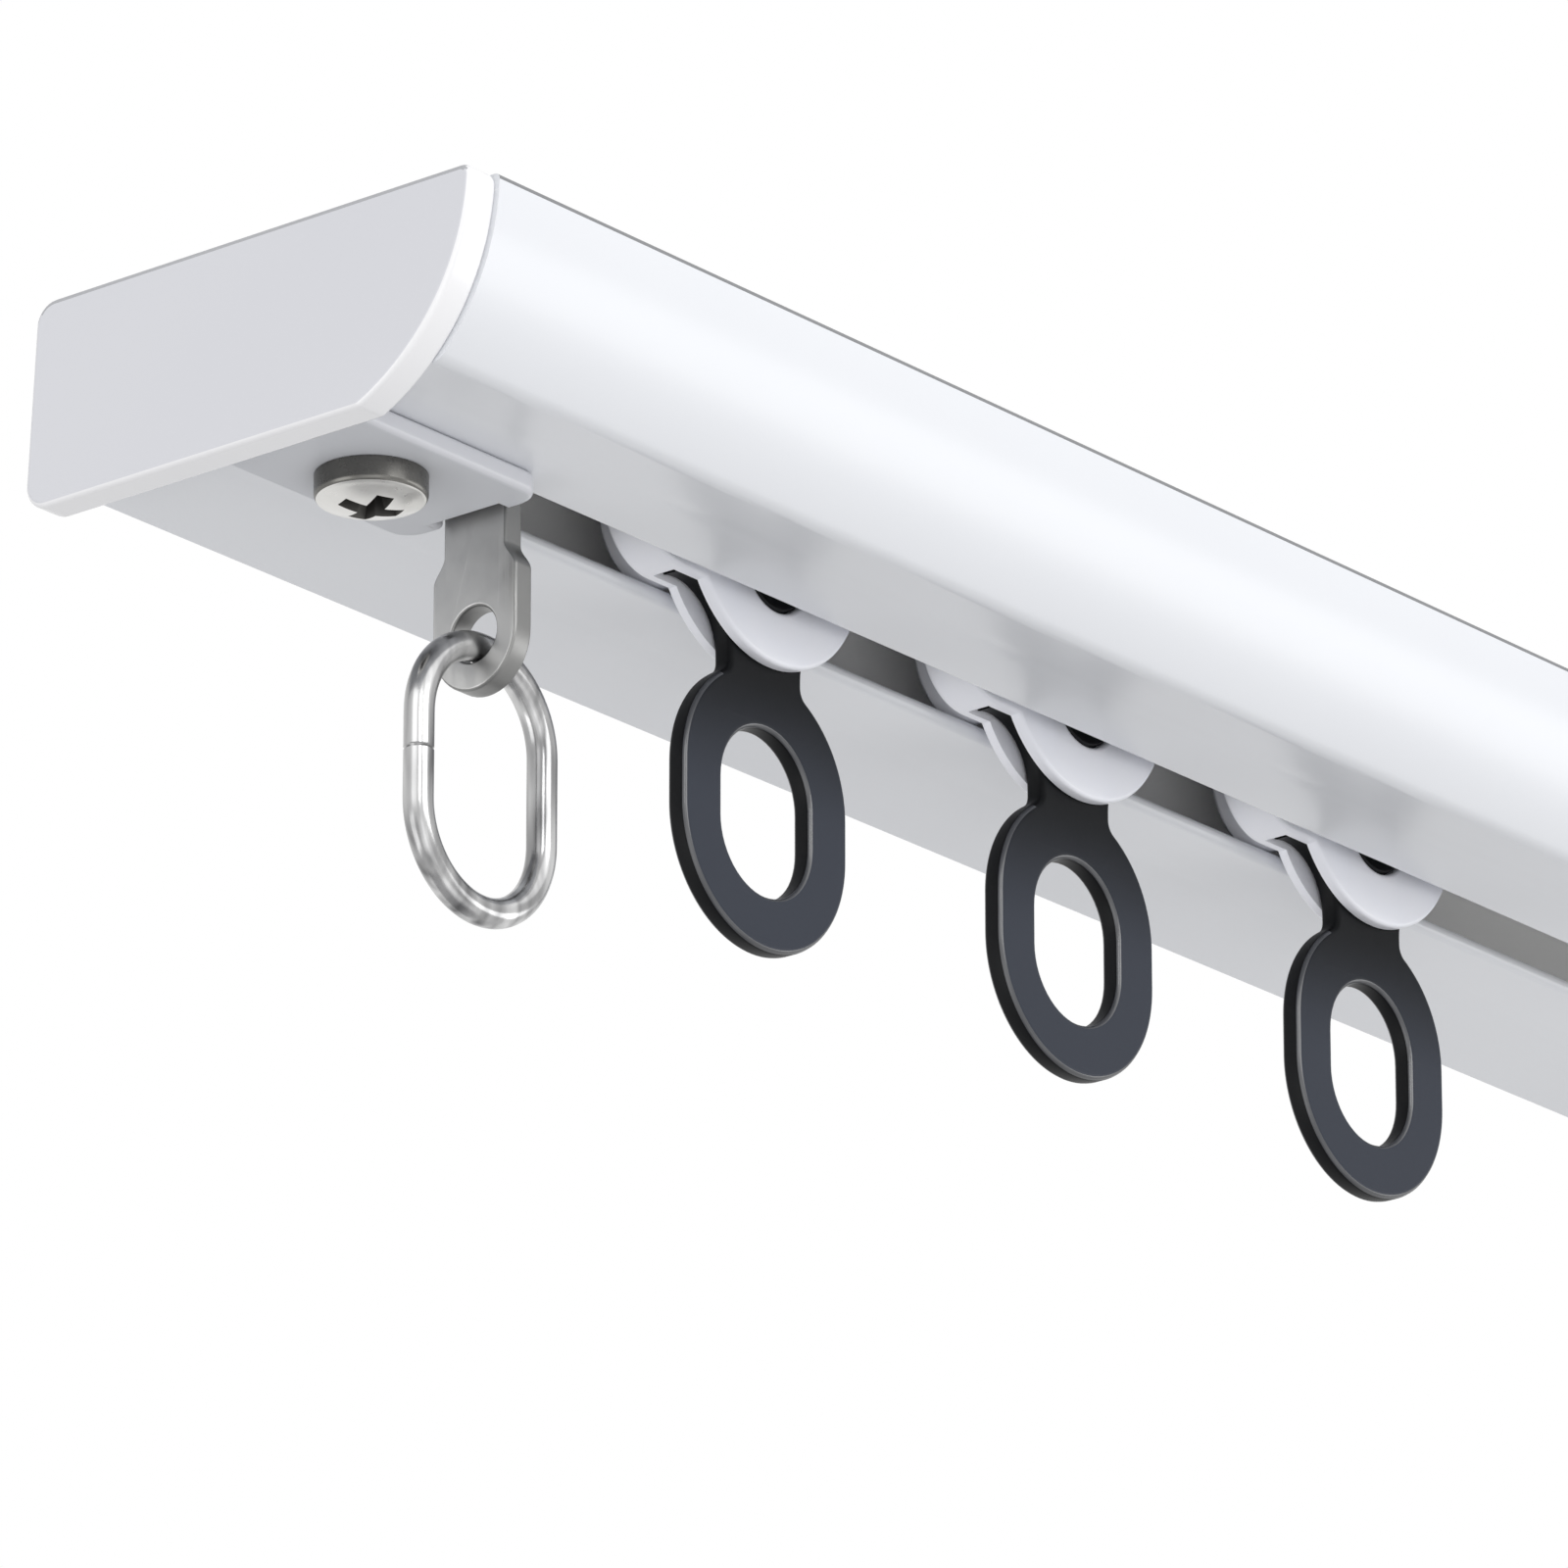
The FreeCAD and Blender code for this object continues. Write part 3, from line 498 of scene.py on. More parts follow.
def corner(before: Point, at: Point, after: Point, radius: float, steps: int = 8) -> list[Point]:
    """Rounds the corner between two straight runs.

    Args:
        before: a point on the run that comes in.
        at: the corner.
        after: a point on the run that goes out.
        radius: radius of the rounding.
        steps: how many chords it is drawn with.

    Returns:
        The points that stand for the corner.
    """
    here = Vector(at)
    back, on = (Vector(before) - here).normalized(), (Vector(after) - here).normalized()
    half = back.angle(on) / 2
    centre = here + (back + on).normalized() * radius / math.sin(half)
    first = here + back * radius / math.tan(half) - centre
    turn = (here + on * radius / math.tan(half) - centre).angle_signed(first)
    points = [centre + Matrix.Rotation(turn * i / steps, 2) @ first for i in range(steps + 1)]
    return [(point.x, point.y) for point in points]


def mirrored(points: Sequence[Point]) -> list[Point]:
    """The same points on the other side of the middle line, in turned order."""
    return [(-x, y) for x, y in reversed(points)]


def signed_area(outline: Sequence[Point]) -> float:
    """Twice the area of an outline, positive when it runs counter-clockwise."""
    turned = list(outline[1:]) + [outline[0]]
    return sum(a[0] * b[1] - b[0] * a[1] for a, b in zip(outline, turned))


def moved(*place_mm: float) -> Matrix:
    """The shift to a place in mm."""
    return Matrix.Translation([value * MM for value in place_mm])


def in_scene(name: str, data: bpy.types.ID) -> Thing:
    """Puts a mesh, curve, lamp or camera in the scene."""
    thing = bpy.data.objects.new(name, data)
    bpy.context.scene.collection.objects.link(thing)
    return thing


def smooth(mesh: Mesh) -> Mesh:
    """Shades a mesh smooth, but for its sharp edges."""
    mesh.polygons.foreach_set("use_smooth", [True] * len(mesh.polygons))
    mesh.set_sharp_from_angle(angle=math.radians(SHARP_ANGLE))
    return mesh


def formed(form: Form, into: str | Mesh, turn_out: bool = True) -> Mesh:
    """Makes a mesh of a form, which is then freed.

    Args:
        form: what was built.
        into: a new mesh's name, or the mesh that takes the form.
        turn_out: whether the faces still have to be turned outwards.

    Returns:
        The mesh, shaded smooth.
    """
    if turn_out:
        bmesh.ops.recalc_face_normals(form, faces=form.faces)
    mesh = bpy.data.meshes.new(into) if isinstance(into, str) else into
    form.to_mesh(mesh)
    form.free()
    return smooth(mesh)


def as_mesh(thing: Thing) -> Mesh:
    """The mesh that an object shows once its modifiers are applied; the object is removed."""
    graph = bpy.context.evaluated_depsgraph_get()
    graph.update()
    mesh = bpy.data.meshes.new_from_object(thing.evaluated_get(graph))
    bpy.data.objects.remove(thing)
    return mesh


def moulded_plate(
    name: str, outlines: Sequence[Sequence[Point]], thickness: float, edge: float,
    plane: Plane = Plane.SIDE,
) -> Mesh:
    """A flat piece with rounded edges, from its outline and the outlines of its holes.

    Args:
        name: the mesh's name.
        outlines: the outer outline and then the holes, in mm.
        thickness: the piece's thickness in mm.
        edge: radius of its edges in mm.
        plane: where the outlines are drawn.

    Returns:
        The mesh, in metres, its thickness centred on the plane.
    """
    curve = bpy.data.curves.new(name, "CURVE")
    curve.dimensions = "2D"
    curve.fill_mode = "BOTH"
    curve.extrude = (thickness / 2 - edge) * MM
    curve.bevel_depth = edge * MM
    curve.bevel_resolution = 3
    curve.offset = -edge * MM
    for number, outline in enumerate(outlines):
        ordered = outline if (signed_area(outline) > 0) == (number == 0) else outline[::-1]
        spline = curve.splines.new("POLY")
        spline.points.add(len(ordered) - 1)
        flat = [value for x, y in ordered for value in (x * MM, y * MM, 0.0, 1.0)]
        spline.points.foreach_set("co", flat)
        spline.use_cyclic_u = True
    mesh = as_mesh(in_scene(name, curve))
    bpy.data.curves.remove(curve)
    mesh.transform(plane.value)
    form = bmesh.new()
    form.from_mesh(mesh)
    bmesh.ops.remove_doubles(form, verts=form.verts, dist=SAME_SPOT)
    return formed(form, mesh)


def lofted(form: Form, rings: Sequence[list[bmesh.types.BMVert]]) -> list[bmesh.types.BMFace]:
    """Spans faces between rings of vertices; a ring of one vertex closes to a point.

    Args:
        form: the mesh being built.
        rings: the rings, from end to end.

    Returns:
        The faces, row by row.
    """
    segments = max(len(ring) for ring in rings)
    faces = []
    for low, high in zip(rings, rings[1:]):
        for i in range(segments):
            j = (i + 1) % segments
            corners = (low[i % len(low)], low[j % len(low)], high[j % len(high)],
                       high[i % len(high)])
            unique = list(dict.fromkeys(corners))
            if len(unique) > 2:
                faces.append(form.faces.new(unique))
    return faces


def turned_piece(name: str, profile: Sequence[Point], segments: int) -> Mesh:
    """A piece turned about Z.

    Args:
        name: the mesh's name.
        profile: radius and height of each corner, in mm, from end to end.
        segments: how many faces go round.

    Returns:
        The closed mesh, in metres.
    """
    form = bmesh.new()
    rings = []
    for radius, height in profile:
        turns = [2 * math.pi * i / segments for i in range(segments)]
        spots = [(radius * math.cos(t) * MM, radius * math.sin(t) * MM, height * MM) for t in turns]
        if radius < NO_RADIUS:
            spots = [(0.0, 0.0, height * MM)]
        rings.append([form.verts.new(spot) for spot in spots])
    lofted(form, rings)
    return formed(form, name)


def block(name: str, low: Vector, high: Vector) -> Mesh:
    """A cutter with flat faces between two corners in mm."""
    form = bmesh.new()
    bmesh.ops.create_cube(form, size=1.0)
    place = moved(*((low + high) / 2)) @ Matrix.Diagonal((*(high - low) * MM, 1.0))
    bmesh.ops.transform(form, matrix=place, verts=form.verts)
    return formed(form, name, turn_out=False)


def cut(base: Mesh, cutter: Mesh) -> Mesh:
    """Takes one mesh out of another.

    Args:
        base: what is cut.
        cutter: what is taken away.

    Returns:
        The cut mesh, under the base's name.
    """
    name = base.name
    body, tool = in_scene(name + "_body", base), in_scene(name + "_tool", cutter)
    step = body.modifiers.new("cut", "BOOLEAN")
    step.operation = "DIFFERENCE"
    step.solver = "EXACT"
    step.object = tool
    result = as_mesh(body)
    bpy.data.objects.remove(tool)
    for spent in (cutter, base):
        bpy.data.meshes.remove(spent)
    result.name = name
    return smooth(result)


def joined(name: str, meshes: Sequence[Mesh]) -> Mesh:
    """One mesh of several."""
    form = bmesh.new()
    for mesh in meshes:
        form.from_mesh(mesh)
        bpy.data.meshes.remove(mesh)
    return formed(form, name, turn_out=False)


def show(
    name: str, mesh: Mesh, finishes: Sequence[Finish], body: str, node: str,
    place_mm: Vector = Vector(),
) -> None:
    """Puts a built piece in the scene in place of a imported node.

    Args:
        name: the piece's name.
        mesh: its mesh.
        finishes: its finishes, one for each of its material slots.
        body: the body that it moves with.
        node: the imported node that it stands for.
        place_mm: where the mesh's origin goes, in mm.
    """
    piece = in_scene(name, mesh)
    piece.location = place_mm * MM
    if not mesh.materials:
        for finish in finishes:
            mesh.materials.append(finish.material())
    # The larger faces lead the shading, so that flat faces stay flat beside round edges.
    piece.modifiers.new("even_shading", "WEIGHTED_NORMAL").keep_sharp = True
    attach(piece, body)
    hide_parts(node)
    log.info("%s: %d faces, in %s", name, len(mesh.polygons), finishes[0].name)


def finish_node(node: str, finish: Finish) -> None:
    """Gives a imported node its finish."""
    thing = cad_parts[node]
    thing.data.materials.clear()
    thing.data.materials.append(finish.material())
    log.info("%s: packed shape, in %s", node, finish.name)


# The object's sub-assemblies


@dataclass(frozen=True)
class Section:
    """The extrusion's section: Y across the rail, Z up, zero at the top face over the slot."""

    front: float = -17.5
    back: float = 18.5
    under: float = -10.9
    fascia_radius: float = 15.0
    fascia_start: float = 182.5
    foot_radius: float = 1.5
    back_lean: float = 0.75
    wall: float = 1.2
    lip: float = 1.1
    half_slot: float = 2.8
    half_channel: float = 8.0
    hollow_foot: float = 2.0
    edge: float = 0.4
    back_edge: float = 0.15

    @property
    def fascia_centre(self) -> float:
        """Where the curved front's centre stands."""
        return self.front + self.fascia_radius

    def back_at(self, z: float) -> float:
        """The leaning back wall's outer face at a height."""
        return self.back - self.back_lean * (1 - z / self.under)

    def nose(self, side: int) -> list[Point]:
        """The round edge of a lip at the slot, for side -1 or 1."""
        centre = (side * (self.half_slot + self.lip / 2), self.under + self.lip / 2)
        first = -90.0 if side < 0 else 90.0
        return arc(centre, self.lip / 2, first, first + 180.0, 14)

    def top_front(self, inset: float, edge: float) -> list[Point]:
        """The corner between the top face and the curved front."""
        reach = self.fascia_radius - inset - edge
        across = self.fascia_centre - math.sqrt(reach**2 - edge**2)
        turn = slope(edge / reach)
        return arc((across, -edge), edge, 90.0, 180.0 + turn, 8)

    def outline(self) -> list[Point]:
        """The outer outline, round the slot and the channel."""
        reach = self.fascia_radius - self.foot_radius
        rise = self.under + self.foot_radius
        touch = 180.0 + slope(-rise / reach)
        foot = (self.fascia_centre - math.sqrt(reach**2 - rise**2), rise)
        lip_top, roof = self.under + self.lip, -self.wall
        top_front = self.top_front(0.0, self.edge)
        low, high = (self.back, self.under), (self.back_at(0.0), 0.0)
        return [
            *top_front,
            *arc((self.fascia_centre, 0.0), self.fascia_radius, self.fascia_start, touch, 56),
            *arc(foot, self.foot_radius, touch, 270.0, 10)[1:],
            *self.nose(-1),
            (-self.half_channel, lip_top), (-self.half_channel, roof),
            (self.half_channel, roof), (self.half_channel, lip_top),
            *self.nose(1),
            *corner((0.0, self.under), low, high, self.back_edge, 4),
            *corner(low, high, top_front[0], self.edge),
        ]

    def front_cell(self, clearance: float) -> list[Point]:
        """The hollow behind the curved front, made smaller by a clearance."""
        top = -self.wall - clearance
        web = -self.half_channel - self.wall - clearance
        radius = self.fascia_radius - self.wall - clearance
        reach = self.fascia_centre - (web - self.hollow_foot)
        foot = max(self.under + self.lip + clearance, -math.sqrt(radius**2 - reach**2))
        first, last = (180.0 + slope(-z / radius) for z in (top, foot))
        curve = arc((self.fascia_centre, 0.0), radius, first, last, 20)
        return [*curve, (web, foot), (web, top)]

    def back_cell(self, clearance: float) -> list[Point]:
        """The hollow in front of the back wall, made smaller by a clearance."""
        top = -self.wall - clearance
        foot = self.under + self.lip + clearance
        web = self.half_channel + self.wall + clearance
        gap = self.wall + clearance
        return [(web, foot), (self.back_at(foot) - gap, foot), (self.back_at(top) - gap, top),
                (web, top)]


SECTION = Section()


@dataclass
class Rail:
    """The extrusion: painted outside, thinly covered inside its channel."""

    length: float = 395.0
    hole_from_middle: float = 125.0
    hole_radius: float = 2.0
    # Which faces are on the top front edge, and how near a face lies to the channel's walls.
    edge_reach: float = 0.44
    flat: float = 0.99
    skin: float = 0.05

    def build(self) -> None:
        """Extrudes the section, drills the ceiling holes and sorts the faces by finish."""
        outlines = [SECTION.outline(), SECTION.front_cell(0.0), SECTION.back_cell(0.0)]
        bar = moulded_plate("rail", outlines, self.length, 0.0, Plane.SECTION)
        drilled = cut(bar, joined("drills", [self.drill(side) for side in (-1, 1)]))
        for face in drilled.polygons:
            spot = face.center / MM
            on_edge = spot.y < SECTION.front + SECTION.edge and spot.z > -self.edge_reach
            # Faces on the rounded top front edge take the grey of painted shade.
            rounded = on_edge and face.normal.z < self.flat
            # Faces in the channel take its paint, drawn whiter as painted light.
            face.material_index = 2 if rounded else int(self.is_inside(spot))
        show("rail_dressed", drilled, [RAIL_PAINT, CHANNEL_PAINT, RAIL_TOP_SHADE], "track",
             "track_extrusion")

    def drill(self, side: int) -> Mesh:
        """The cutter of one ceiling screw hole."""
        half = SECTION.wall
        profile = [(0.0, -half), (self.hole_radius, -half), (self.hole_radius, half), (0.0, half)]
        drill = turned_piece("drill", profile, 48)
        drill.transform(moved(side * self.hole_from_middle, 0.0, -SECTION.wall / 2))
        return drill

    def is_inside(self, spot: Vector) -> bool:
        """Whether a face's middle, in mm, is on the channel's walls, roof or lips."""
        low = SECTION.under + SECTION.lip - 2 * self.skin
        return (abs(spot.y) < SECTION.half_channel + self.skin
                and low < spot.z < 2 * self.skin - SECTION.wall)


@dataclass
class Cap:
    """The moulded end cap: a flange, a tongue under the lips, and two plugs in the hollows."""

    flange: float = 2.5
    drop: float = 2.6
    inset: float = 0.2
    curve_start: float = 184.0
    rim_edge: float = 0.38
    top_edge: float = 0.8
    foot_edge: float = 0.8
    back_edge: float = 1.6
    tongue_end: float = 20.6
    tongue_half: float = 5.65
    tongue_thickness: float = 1.45
    tongue_corner: float = 1.8
    tongue_edge: float = 0.42
    notch_start: float = 19.7
    notch_half: float = 2.65
    seat_gap: float = 0.05
    screw_from_face: float = 11.0
    screw_hole: float = 2.2
    plug_length: float = 9.0
    plug_clearance: float = 0.15
    overlap: float = 0.4
    # The normals that part the end face, the flat undersides, and the top rounding.
    face_tilt: float = -0.98
    rim_tilt: float = 0.98
    top_tilt: float = 0.12
    front_tilt: float = -0.48

    def flange_outline(self) -> list[Point]:
        """The flange's outline, a little inside the curved front and lower than the rail."""
        radius = SECTION.fascia_radius - self.inset
        foot = SECTION.under - self.drop
        last = 180.0 + slope(-foot / radius)
        curve = arc((SECTION.fascia_centre, 0.0), radius, self.curve_start, last, 44)
        low, high = (SECTION.back, foot), (SECTION.back_at(0.0), 0.0)
        top = SECTION.top_front(self.inset, self.top_edge)
        return [*top, *curve[:-1], *corner(curve[-2], curve[-1], low, self.foot_edge, 5),
                *corner(curve[-1], low, high, self.back_edge),
                *corner(low, high, top[0], self.back_edge)]

    def tongue_outline(self) -> list[Point]:
        """The tongue seen from below, notched for the hook plate."""
        start = self.flange - self.overlap
        end, half, notch = self.tongue_end, self.tongue_half, self.notch_half
        tip = corner((start, -half), (end, -half), (end, -notch), self.tongue_corner)
        side = [(start, -half), *tip, (end, -notch), (self.notch_start, -notch)]
        return side + [(x, -y) for x, y in reversed(side)]

    def mesh(self) -> Mesh:
        """Moulds the cap.

        Returns:
            The mesh, its origin on the cap's outer face, with slots for the face and the
            tongue's sides, the rim, the tongue's underside and the top rounding.
        """
        flange = moulded_plate("end_cap", [self.flange_outline()], self.flange, self.rim_edge,
                               Plane.SECTION)
        flange.transform(moved(self.flange / 2, 0.0, 0.0))
        hole = circle((self.screw_from_face, 0.0), self.screw_hole, 36)
        tongue = moulded_plate("tongue", [self.tongue_outline(), hole], self.tongue_thickness,
                               self.tongue_edge, Plane.GROUND)
        level = SECTION.under - self.seat_gap - self.tongue_thickness / 2
        tongue.transform(moved(0.0, 0.0, level))
        for face in flange.polygons:
            # Every face but the outer end face takes the rim's finish, drawn whiter as painted
            # light.
            face.material_index = int(face.normal.x > self.face_tilt)
            # The top rounding takes the grey of painted shade.
            if (self.top_tilt < face.normal.z < self.rim_tilt
                    and face.normal.y > self.front_tilt):
                face.material_index = 3
        for face in tongue.polygons:
            # The tongue's underside takes its greyer finish, as painted shade.
            face.material_index = 2 if face.normal.z < -self.rim_tilt else 0
        return joined("end_cap", [flange, tongue, *self.plugs()])

    def plugs(self) -> list[Mesh]:
        """The two plugs that hold the cap in the rail's hollows."""
        length = self.plug_length + self.overlap
        plugs = [moulded_plate("plug", [cell(self.plug_clearance)], length, self.overlap / 2,
                               Plane.SECTION) for cell in (SECTION.front_cell, SECTION.back_cell)]
        for plug in plugs:
            plug.transform(moved(self.flange - self.overlap + length / 2, 0.0, 0.0))
        return plugs


@dataclass
class EndFitting:
    """What closes and ends the rail at one end: cap, screw, hook plate and link."""

    end: End

    def build(self) -> None:
        """Builds the four pieces."""
        cap, plate = Cap(), HookPlate()
        seat = SECTION.under - 2 * cap.seat_gap - cap.tongue_thickness
        self.place("end_cap", cap.mesh(),
                   [CAP_PLASTIC, RIM_PLASTIC, TONGUE_PLASTIC, CAP_TOP_SHADE], "white_abs")
        self.place("cap_screw", PanHead(seat).mesh(),
                   [SCREW_PLATING, SCREW_SIDE_PLATING, RECESS_STEEL], "nickel_steel",
                   inset=cap.screw_from_face)
        self.place("hook_plate", plate.mesh(), [PLATE_STEEL, SHEARED_STEEL], "zinc_steel")
        self.place("end_ring", Link().mesh(), [LINK_WIRE], "ring_steel",
                   f"ring_{self.end.word}", plate.face + plate.thickness / 2)

    def place(
        self, kind: str, mesh: Mesh, finishes: Sequence[Finish], slot: str,
        body: str = "track", inset: float = 0.0,
    ) -> None:
        """Shows a piece at this end, its mesh's origin that far in from the cap's face."""
        if self.end is End.RIGHT:
            mesh.transform(Matrix.Scale(-1.0, 4, Vector((1.0, 0.0, 0.0))))
            mesh.flip_normals()
        node = f"{kind}_{self.end.word}"
        place = Vector((self.end.value * (HALF_OVERALL - inset), 0.0, 0.0))
        show(f"{node}_dressed", mesh, finishes, body, node, place)


@dataclass
class PanHead:
    """The cap's screw: a pan head with a cross recess."""

    seat: float
    radius: float = 3.5
    side: float = 1.2
    side_band: float = 0.15
    height: float = 2.3
    edge: float = 0.45
    shank_radius: float = 2.0
    shank_taper: float = 0.5
    shank_length: float = 5.0
    recess_span: float = 4.8
    recess_reach: float = 2.88
    recess_width: float = 1.4
    recess_depth: float = 1.5
    recess_mouth: float = 1.08
    recess_floor: float = 0.5
    recess_turn: float = 68.0
    skin: float = 0.04

    def mesh(self) -> Mesh:
        """Turns the head and shank and cuts the recess.

        Returns:
            The mesh about its own axis, heights as in the frame, with slots for the dome and
            edge, the side, and the recess.
        """
        crown = self.seat - self.height
        rim = self.radius - self.edge
        rise = self.height - self.side - self.edge
        dome = (rim**2 + rise**2) / (2 * rise)
        limit = slope(rim / dome)
        face = arc((0.0, crown + dome), dome, -90.0, limit - 90.0, 12)
        edge = arc((rim, self.seat - self.side), self.edge, -70.0, 0.0, 6)
        tip, taper = self.seat + self.shank_length, self.shank_taper
        shank = [(self.radius, self.seat), (self.shank_radius, self.seat),
                 (self.shank_radius, tip - taper), (self.shank_radius - taper, tip), (0.0, tip)]
        head = turned_piece("pan_head_screw", face + edge + shank, 72)
        head = cut(head, self.recess(crown))
        for face in head.polygons:
            spot = face.center / MM
            reach = math.hypot(spot.x, spot.y)
            sunk = spot.z - (crown + dome - math.sqrt(dome**2 - reach**2))
            in_recess = reach < self.recess_reach and sunk > self.skin
            on_side = reach > self.radius - self.side_band
            # The side band takes the darker plating, a painted dark reflection.
            face.material_index = 1 if on_side else 2 * int(in_recess)
        return head

    def recess(self, crown: float) -> Mesh:
        """The cutter of the cross recess: four arms that narrow to its floor."""
        form = bmesh.new()
        rings = []
        for height, share in ((crown - self.recess_width / 2, self.recess_mouth),
                              (crown + self.recess_depth, self.recess_floor)):
            a, b = self.recess_span / 2 * share, self.recess_width / 2 * share
            corners = [(a, -b), (a, b), (b, b), (b, a), (-b, a), (-b, b),
                       (-a, b), (-a, -b), (-b, -b), (-b, -a), (b, -a), (b, -b)]
            rings.append([form.verts.new((x * MM, y * MM, height * MM)) for x, y in corners])
        lofted(form, rings)
        form.faces.new(rings[0][::-1])
        form.faces.new(rings[1])
        bmesh.ops.rotate(form, verts=form.verts,
                         matrix=Matrix.Rotation(math.radians(self.recess_turn), 3, "Z"))
        return formed(form, "cross_recess")


@dataclass
class HookPlate:
    """The hook plate: a stamped blank, folded down through a right angle."""

    thickness: float = 1.6
    start: float = 5.0
    face: float = 20.5
    inner: float = -9.75
    bend: float = 0.5
    half_leg: float = 7.6
    leg_end: float = 18.9
    half_neck: float = 2.5
    half_tab: float = 3.35
    shoulder_top: float = -14.3
    shoulder_foot: float = -16.0
    hole_z: float = -19.85
    hole_radius: float = 1.8
    rim: float = 1.85
    edge: float = 0.22
    stations: int = 10
    station_width: float = 1e-7
    face_tilt: float = 0.9

    @property
    def bend_start(self) -> float:
        """Distance along the blank to the start of the fold."""
        return self.face - self.bend - self.start

    @property
    def middle_radius(self) -> float:
        """Radius of the fold at the middle of the strip."""
        return self.bend + self.thickness / 2

    @property
    def bend_stop(self) -> float:
        """Distance along the blank to the end of the fold."""
        return self.bend_start + self.middle_radius * math.pi / 2

    def along(self, z: float) -> float:
        """Distance along the blank of a height on the hanging leg."""
        level = self.inner + self.thickness / 2 - self.middle_radius
        return self.bend_stop + level - z

    def blank(self) -> list[list[Point]]:
        """Outline of the flat blank, and its hole."""
        leg = self.leg_end - self.start
        bow = self.thickness
        end = self.along(self.hole_z)
        tip = self.hole_radius + self.rim
        nose = [(end + tip * x, self.half_tab * y) for x, y in arc((0.0, 0.0), 1.0, 90.0, 0.0, 12)]
        half = [
            *arc((bow, self.half_leg - bow), bow, 180.0, 90.0, 6),
            *arc((leg - bow, self.half_leg - bow), bow, 90.0, 0.0, 6),
            (leg, self.half_neck),
            *self.shoulder(),
            *nose,
        ]
        whole = half + [(s, -y) for s, y in reversed(half[:-1])]
        return [whole, circle((end, 0.0), self.hole_radius, 48)]

    def shoulder(self, steps: int = 12) -> list[Point]:
        """The soft step from the neck's width to the tab's."""
        points = []
        for i in range(steps + 1):
            share = i / steps
            z = self.shoulder_top + (self.shoulder_foot - self.shoulder_top) * share
            widen = (self.half_tab - self.half_neck) * share * share * (3 - 2 * share)
            points.append((self.along(z), self.half_neck + widen))
        return points

    def mesh(self) -> Mesh:
        """Stamps the blank and folds it.

        Returns:
            The mesh, its origin on the cap's outer face, with slots for faces and edges.
        """
        flat = moulded_plate("hook_plate", self.blank(), self.thickness, self.edge, Plane.GROUND)
        for face in flat.polygons:
            face.material_index = int(abs(face.normal.z) < self.face_tilt)
        form = bmesh.new()
        form.from_mesh(flat)
        for i in range(self.stations + 1):
            s = self.bend_start + (self.bend_stop - self.bend_start) * i / self.stations
            parts = list(form.verts) + list(form.edges) + list(form.faces)
            bmesh.ops.bisect_plane(form, geom=parts, plane_co=(s * MM, 0.0, 0.0),
                                   plane_no=(1.0, 0.0, 0.0), dist=self.station_width)
        for vert in form.verts:
            vert.co = self.folded(vert.co / MM) * MM
        return formed(form, flat, turn_out=False)

    def folded(self, spot: Vector) -> Vector:
        """Where a spot of the flat blank goes when it is folded, in mm."""
        level = self.inner + self.thickness / 2
        if spot.x <= self.bend_start:
            return Vector((self.start + spot.x, spot.y, level + spot.z))
        centre = Vector((self.start + self.bend_start, 0.0, level - self.middle_radius))
        turn = min((spot.x - self.bend_start) / self.middle_radius, math.pi / 2)
        reach = self.middle_radius + spot.z
        place = centre + Vector((math.sin(turn) * reach, spot.y, math.cos(turn) * reach))
        place.z -= max(0.0, spot.x - self.bend_stop)
        return place


